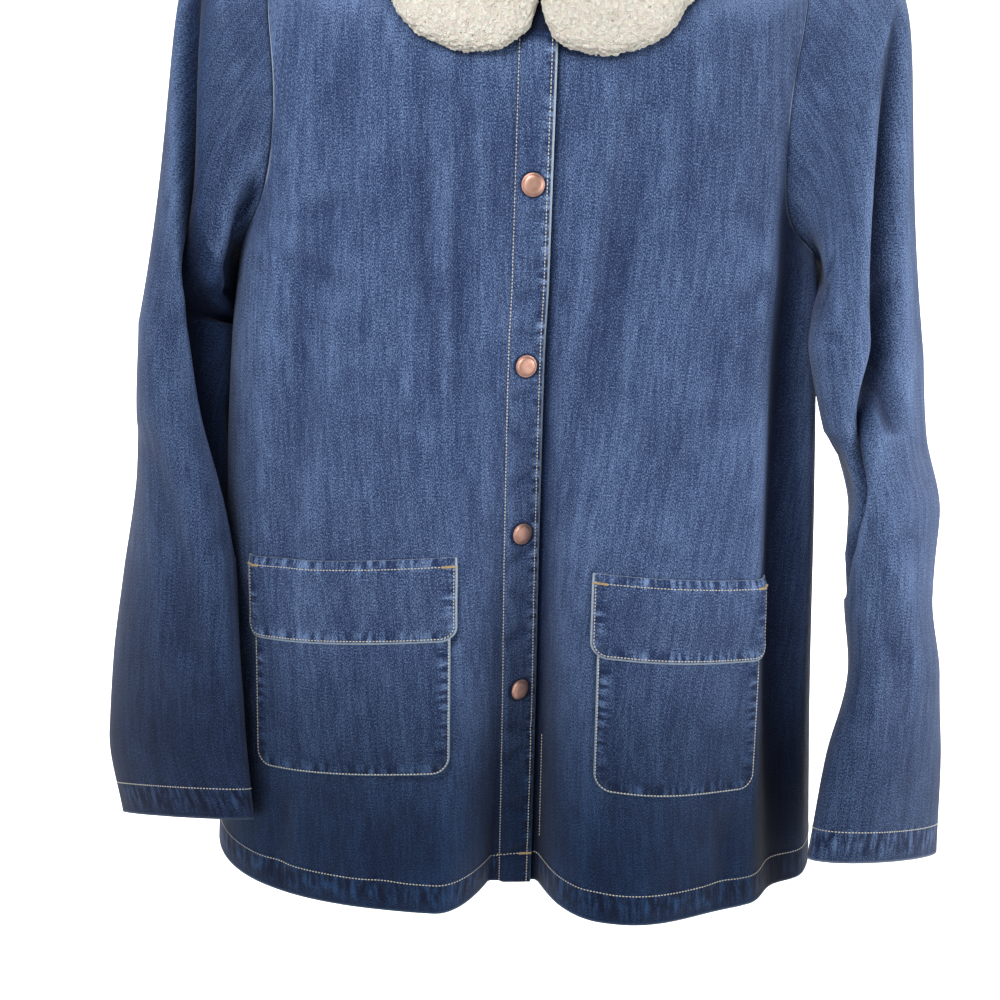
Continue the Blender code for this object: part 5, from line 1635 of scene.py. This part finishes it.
def snap_cap(name, seat, normal, radius, metal):
    """A domed cap with a rolled rim, turned about its axis."""
    steps = SNAP_SIDES
    mesh = bmesh.new()
    rings = []
    for across, up in [(point.radius * radius, point.height * radius) for point in CAP_PROFILE]:
        if across == 0.0:
            rings.append([mesh.verts.new((0.0, 0.0, up))])
            continue
        angles = [2.0 * math.pi * step / steps for step in range(steps)]
        rings.append([mesh.verts.new((across * math.cos(a), across * math.sin(a), up)) for a in angles])
    for first, second in zip(rings, rings[1:]):
        for step in range(steps):
            after = (step + 1) % steps
            corners = [first[step % len(first)], first[after % len(first)], second[after % len(second)],
                       second[step % len(second)]]
            mesh.faces.new(list(dict.fromkeys(corners)))
    bmesh.ops.recalc_face_normals(mesh, faces=mesh.faces[:])
    turn = normal.to_track_quat("Z", "Y").to_matrix().to_4x4()
    bmesh.ops.transform(mesh, matrix=Matrix.Translation(seat) @ turn, verts=mesh.verts[:])
    return built_object(name, mesh, metal)


class JACKET_OT_stitching(bpy.types.Operator):
    """Sew the topstitching, hem stitches and bar-tacks."""
    bl_idname = "jacket.stitching"
    bl_label = "Stitching"

    def execute(self, context):
        """Lay stitches along every seam path."""
        trim = context.scene.jacket_trim
        hem = context.scene.jacket_cloth.hem
        tree = stitch_tree()
        rows = placket_seams() + pocket_seams() + cuff_seams(hem) + hem_seams(hem)
        for name, lines, colour, pitch, length, radius in (
                ("cream", rows, trim.cream, trim.pitch, trim.pitch * 0.74, trim.thread_radius),
                ("gold", bar_tacks(), trim.gold, trim.pitch * 0.4, trim.pitch * 0.55,
                 trim.thread_radius * 1.25)):
            made = seam_paths(name + "_stitches", lines)
            made = tree.run(made, {"Pitch": pitch, "Length": length, "Radius": radius,
                                   "Material": thread(name + "_thread", tuple(colour))})
            ride(made, None)
        return {"FINISHED"}


def stitch_tree():
    """Stitches along a path: a row of short tapered threads that lie square to the cloth."""
    tree = NodeTree("Stitches")
    for name in ("Pitch", "Length", "Radius"):
        tree.add_input(name, "NodeSocketFloat")
    tree.add_input("Material", "NodeSocketMaterial")
    start = tree.start
    path = tree.node("GeometryNodeMeshToCurve", None, {"Mesh": (start, "Geometry")})
    even = tree.node("GeometryNodeResampleCurve", {"mode": "LENGTH"},
                     {"Curve": (path, "Curve"), "Length": (start, "Pitch")})
    tangent = tree.node("GeometryNodeInputTangent")
    out = tree.node("GeometryNodeInputNamedAttribute", {"data_type": "FLOAT_VECTOR"}, {"Name": "out"})
    lie = tree.node("FunctionNodeAxesToRotation", {"primary_axis": "X", "secondary_axis": "Z"},
                    {"Primary Axis": (tangent, "Tangent"), "Secondary Axis": (out, "Attribute")})
    ball = tree.node("GeometryNodeMeshUVSphere", None, {"Segments": 6, "Rings": 4, "Radius": 1.0})
    half = tree.node("ShaderNodeMath", {"operation": "MULTIPLY"}, {0: (start, "Length"), 1: 0.5})
    size = tree.node("ShaderNodeCombineXYZ", None,
                     {"X": (half, "Value"), "Y": (start, "Radius"), "Z": (start, "Radius")})
    upright = tree.node("GeometryNodeTransform", None,
                        {"Geometry": (ball, "Mesh"), "Rotation": (0.0, 0.5 * math.pi, 0.0)})
    place = tree.node("GeometryNodeInstanceOnPoints", None,
                      {"Points": (even, "Curve"), "Instance": (upright, "Geometry"),
                       "Rotation": (lie, "Rotation"), "Scale": (size, "Vector")})
    tree.finish(place)
    return tree


def seam_paths(name, paths):
    """Paths as one mesh of edges, with the cloth's outward direction at each point."""
    points, edges, outs = [], [], []
    for path, normals in paths:
        first = len(points)
        points.extend(path.tolist())
        outs.extend(normals.tolist())
        edges.extend([(first + index, first + index + 1) for index in range(len(path) - 1)])
    mesh = plain_mesh(name, points, edges, [])
    attribute = mesh.attributes.new("out", "FLOAT_VECTOR", "POINT")
    attribute.data.foreach_set("vector", np.array(outs, dtype=np.float32).ravel())
    return place_object(name, mesh)


THREAD_LIFT = 0.00012  # how far a stitch's middle lies above the cloth
ROLL_LIFT = 0.0002  # and how much more on cloth that is puffed or doubled
POCKET_SEAM = 0.0015  # distance of a pocket's stitching from its edge
FLAP_SEAM = 0.0025  # and of a flap's
TACK_STEP = 0.0007  # distance between the two rows of a bar-tack


def on_panel(panel, along, level, height):
    """A path on a panel, a little above the cloth at this height."""
    path, normals, _ = panel.read(along, level, height + THREAD_LIFT)
    return path, normals


def placket_seams():
    """The placket's two rows, and the one on the underlap that shows in the slit at the hem."""
    right, left = front_of("right"), front_of("left")
    level = np.linspace(HEM_LEVEL + 0.002, -0.066, 300)
    rows = []
    for place in PLACKET_SEAMS:
        along = np.full_like(level, place)
        rows.append(on_panel(right, along, level, placket_height(along, level) + ROLL_LIFT))
    short = np.linspace(HEM_LEVEL + 0.040, -0.590, 60)
    rows.append(on_panel(left, np.full_like(short, 0.0175), short, np.zeros_like(short)))
    return rows


def pocket_seams():
    """Edge stitching of the pockets and flaps, and the row along each flap's top."""
    rows = []
    for name, patch in patches().items():
        flap = name.endswith("flap")
        top = patch.top - (0.006 if flap else 0.0)
        path = patch.seam(FLAP_SEAM if flap else POCKET_SEAM, top, top)
        along, level = path[:, 0], path[:, 1]
        rows.append(on_panel(patch.panel, along, level, patch.height(along, level) + ROLL_LIFT))
        if flap:
            along = np.linspace(patch.near + 0.0012, patch.far - 0.0012, 120)
            level = np.full_like(along, patch.top - 0.0062)
            rows.append(on_panel(patch.panel, along, level, patch.height(along, level)))
    return rows


def cloth_row(cloth, distance):
    """A path at a distance from a piece's finished lower edge."""
    path, normals = [], []
    for column in range(cloth.points.shape[1]):
        reach = cloth.rim[:, column, 1]
        order = np.argsort(reach)
        row = np.interp(distance, reach[order], order.astype(float))
        spot = np.array([row])
        place = np.array([float(column)])
        path.append(bilinear(cloth.points, spot, place)[0])
        normals.append(unit(bilinear(cloth.normals, spot, place))[0])
    if cloth.wrap:
        path.append(path[0])
        normals.append(normals[0])
    path, normals = np.array(path), np.array(normals)
    return path + normals * THREAD_LIFT, normals


def cuff_seams(hem):
    """The row round each cuff."""
    return [cloth_row(shapes["sleeve_" + side], hem) for side in ("right", "left")]


def hem_seams(hem):
    """The rows along the hem of the fronts and the back."""
    rows = []
    for panel in (front_of("right"), front_of("left")):
        path, normals = cloth_row(panel, hem)
        clear = np.abs(panel.lines) > PLACKET_HALF + 0.0004
        rows.append((path[clear], normals[clear]))
    along = np.linspace(-PLACKET_HALF, PLACKET_HALF - 0.001, 30)
    level = np.full_like(along, HEM_LEVEL + hem + 0.001)
    rows.append(on_panel(front_of("right"), along, level, placket_height(along, level) + ROLL_LIFT))
    rows.append(cloth_row(back_panel(), hem))
    return rows


def bar_tacks():
    """Golden tacks at the flap's corners and at the placket's free edge above the hem."""
    rows = []
    for name, patch in patches().items():
        if not name.endswith("flap"):
            continue
        for end, sign in ((patch.near, 1.0), (patch.far, -1.0)):
            for step in (0.0, TACK_STEP):
                along = end + sign * np.linspace(0.0012, 0.0095, 24)
                level = np.full_like(along, patch.top - 0.0060 - step)
                rows.append(on_panel(patch.panel, along, level, patch.height(along, level) + ROLL_LIFT))
    for step in (0.0, TACK_STEP):
        along = np.linspace(0.0035, PLACKET_HALF - 0.0008, 24)
        level = np.full_like(along, HEM_LEVEL + 0.0247 - step)
        rows.append(on_panel(front_of("right"), along, level, placket_height(along, level) + 0.0003))
    return rows


WORLD_LIGHT = 0.14
Light = namedtuple("Light", "name place target size power spread")
LIGHTS = [Light(*row) for row in (
    ("key", (-0.42, -0.80, 0.52), (-0.02, -0.10, -0.14), 0.45, 1.80, 75.0),
    ("right", (1.1, -0.35, -0.2), (0.25, -0.08, -0.4), 0.5, 2.2, 90.0),
    ("left", (-1.1, -0.35, -0.2), (-0.25, -0.08, -0.4), 0.5, 0.5, 90.0),
    ("low_right", (0.8, -1.0, -0.55), (0.15, -0.1, -0.5), 0.5, 0.80, 120.0),
    ("low_left", (-0.8, -1.0, -0.55), (-0.15, -0.1, -0.5), 0.5, 1.30, 120.0),
    ("floor_wash", (0.0, 1.4, 2.2), (0.0, 2.2, -0.9), 2.0, 130.0, 100.0),
)]
CAMERA_PLACE = (-0.0155, -0.9174, -0.1748)
CAMERA_DROP = 15.76  # degrees by which it looks down, and by which it is turned on its axis
CAMERA_ROLL = 1.7
LENS = 43.2  # millimetres, on a sensor of this width
SENSOR = 36.0
FLOOR_LEVEL = -1.05
FLOOR_START = -4.0  # where the floor starts and bends up, and the top of the backdrop
BEND_START = 1.2
BEND_RADIUS = 1.6
BEND_STEPS = 12
BACKDROP_TOP = 5.0
FLOOR_HALF = 7.0


class JACKET_OT_stage(bpy.types.Operator):
    """Make the pale floor, the soft light and the camera."""
    bl_idname = "jacket.stage"
    bl_label = "Stage"

    def execute(self, context):
        """Set the jacket in a plain pale studio."""
        scene = context.scene
        tree = Shader("pale_floor")
        floor = sweep("floor", tree.finish((0.93, 0.93, 0.93), 0.9, None, Specular_IOR_Level=0.1))
        world = bpy.data.worlds.new("studio")
        world.use_nodes = True
        glow = world.node_tree.nodes["Background"]
        glow.inputs["Color"].default_value = (1.0, 1.0, 1.0, 1.0)
        glow.inputs["Strength"].default_value = WORLD_LIGHT
        scene.world = world
        for light in LIGHTS:
            area_light(*light)
        scene.view_settings.view_transform = "Standard"
        data = bpy.data.cameras.new("camera")
        data.sensor_width = SENSOR
        data.lens = LENS
        camera = place_object("camera", data)
        camera.matrix_world = (Matrix.Translation(CAMERA_PLACE)
                               @ Matrix.Rotation(math.radians(90.0 - CAMERA_DROP), 4, "X")
                               @ Matrix.Rotation(math.radians(CAMERA_ROLL), 4, "Z"))
        scene.camera = camera
        return {"FINISHED"}


def sweep(name, material):
    """A floor that curves up into a backdrop."""
    profile = [(FLOOR_START, 0.0), (BEND_START, 0.0)]
    for step in range(1, BEND_STEPS + 1):
        turn = 0.5 * math.pi * step / BEND_STEPS
        profile.append((BEND_START + BEND_RADIUS * math.sin(turn),
                        BEND_RADIUS - BEND_RADIUS * math.cos(turn)))
    profile.append((BEND_START + BEND_RADIUS, BACKDROP_TOP))
    points, faces = [], []
    for y, z in profile:
        points += [(-FLOOR_HALF, y, z + FLOOR_LEVEL), (FLOOR_HALF, y, z + FLOOR_LEVEL)]
    for index in range(len(profile) - 1):
        first = 2 * index
        faces.append((first, first + 1, first + 3, first + 2))
    return add_object(name, plain_mesh(name, points, [], faces), [material])


def area_light(name, place, target, size, power, spread):
    """A soft square light that faces a point. spread is the angle over which it shines."""
    data = bpy.data.lights.new(name, "AREA")
    data.size = size
    data.energy = power
    data.spread = math.radians(spread)
    light = place_object(name, data)
    light.location = place
    light.rotation_euler = (Vector(target) - Vector(place)).to_track_quat("-Z", "Y").to_euler()


class JACKET_PT_panel(bpy.types.Panel):
    """The jacket's settings and pieces."""
    bl_idname = "JACKET_PT_panel"
    bl_label = "Denim jacket"
    bl_space_type = "VIEW_3D"
    bl_region_type = "UI"
    bl_category = "Jacket"

    def draw(self, context):
        """List the settings and the operators."""
        for group in SETTINGS:
            owner = getattr(context.scene, group)
            for name in owner.__annotations__:
                self.layout.prop(owner, name)
        for operator in STEPS:
            self.layout.operator(operator.bl_idname)


SETTINGS = {"jacket_cloth": JacketCloth, "jacket_fleece": JacketFleece, "jacket_trim": JacketTrim}
STEPS = [JACKET_OT_fronts, JACKET_OT_back, JACKET_OT_sleeves, JACKET_OT_placket, JACKET_OT_pockets,
         JACKET_OT_collar, JACKET_OT_snaps, JACKET_OT_stitching, JACKET_OT_stage]
CLASSES = list(SETTINGS.values()) + STEPS + [JACKET_PT_panel]


def register():
    """Register the classes and their settings."""
    for made in CLASSES:
        bpy.utils.register_class(made)
    for name, group in SETTINGS.items():
        setattr(bpy.types.Scene, name, bpy.props.PointerProperty(type=group))


def unregister():
    """Remove the settings and the classes."""
    for name in SETTINGS:
        delattr(bpy.types.Scene, name)
    for made in reversed(CLASSES):
        bpy.utils.unregister_class(made)


def main():
    """Make every piece and the stage."""
    register()
    for step in STEPS:
        group, name = step.bl_idname.split(".")
        getattr(getattr(bpy.ops, group), name)()


if __name__ == "__main__":
    main()
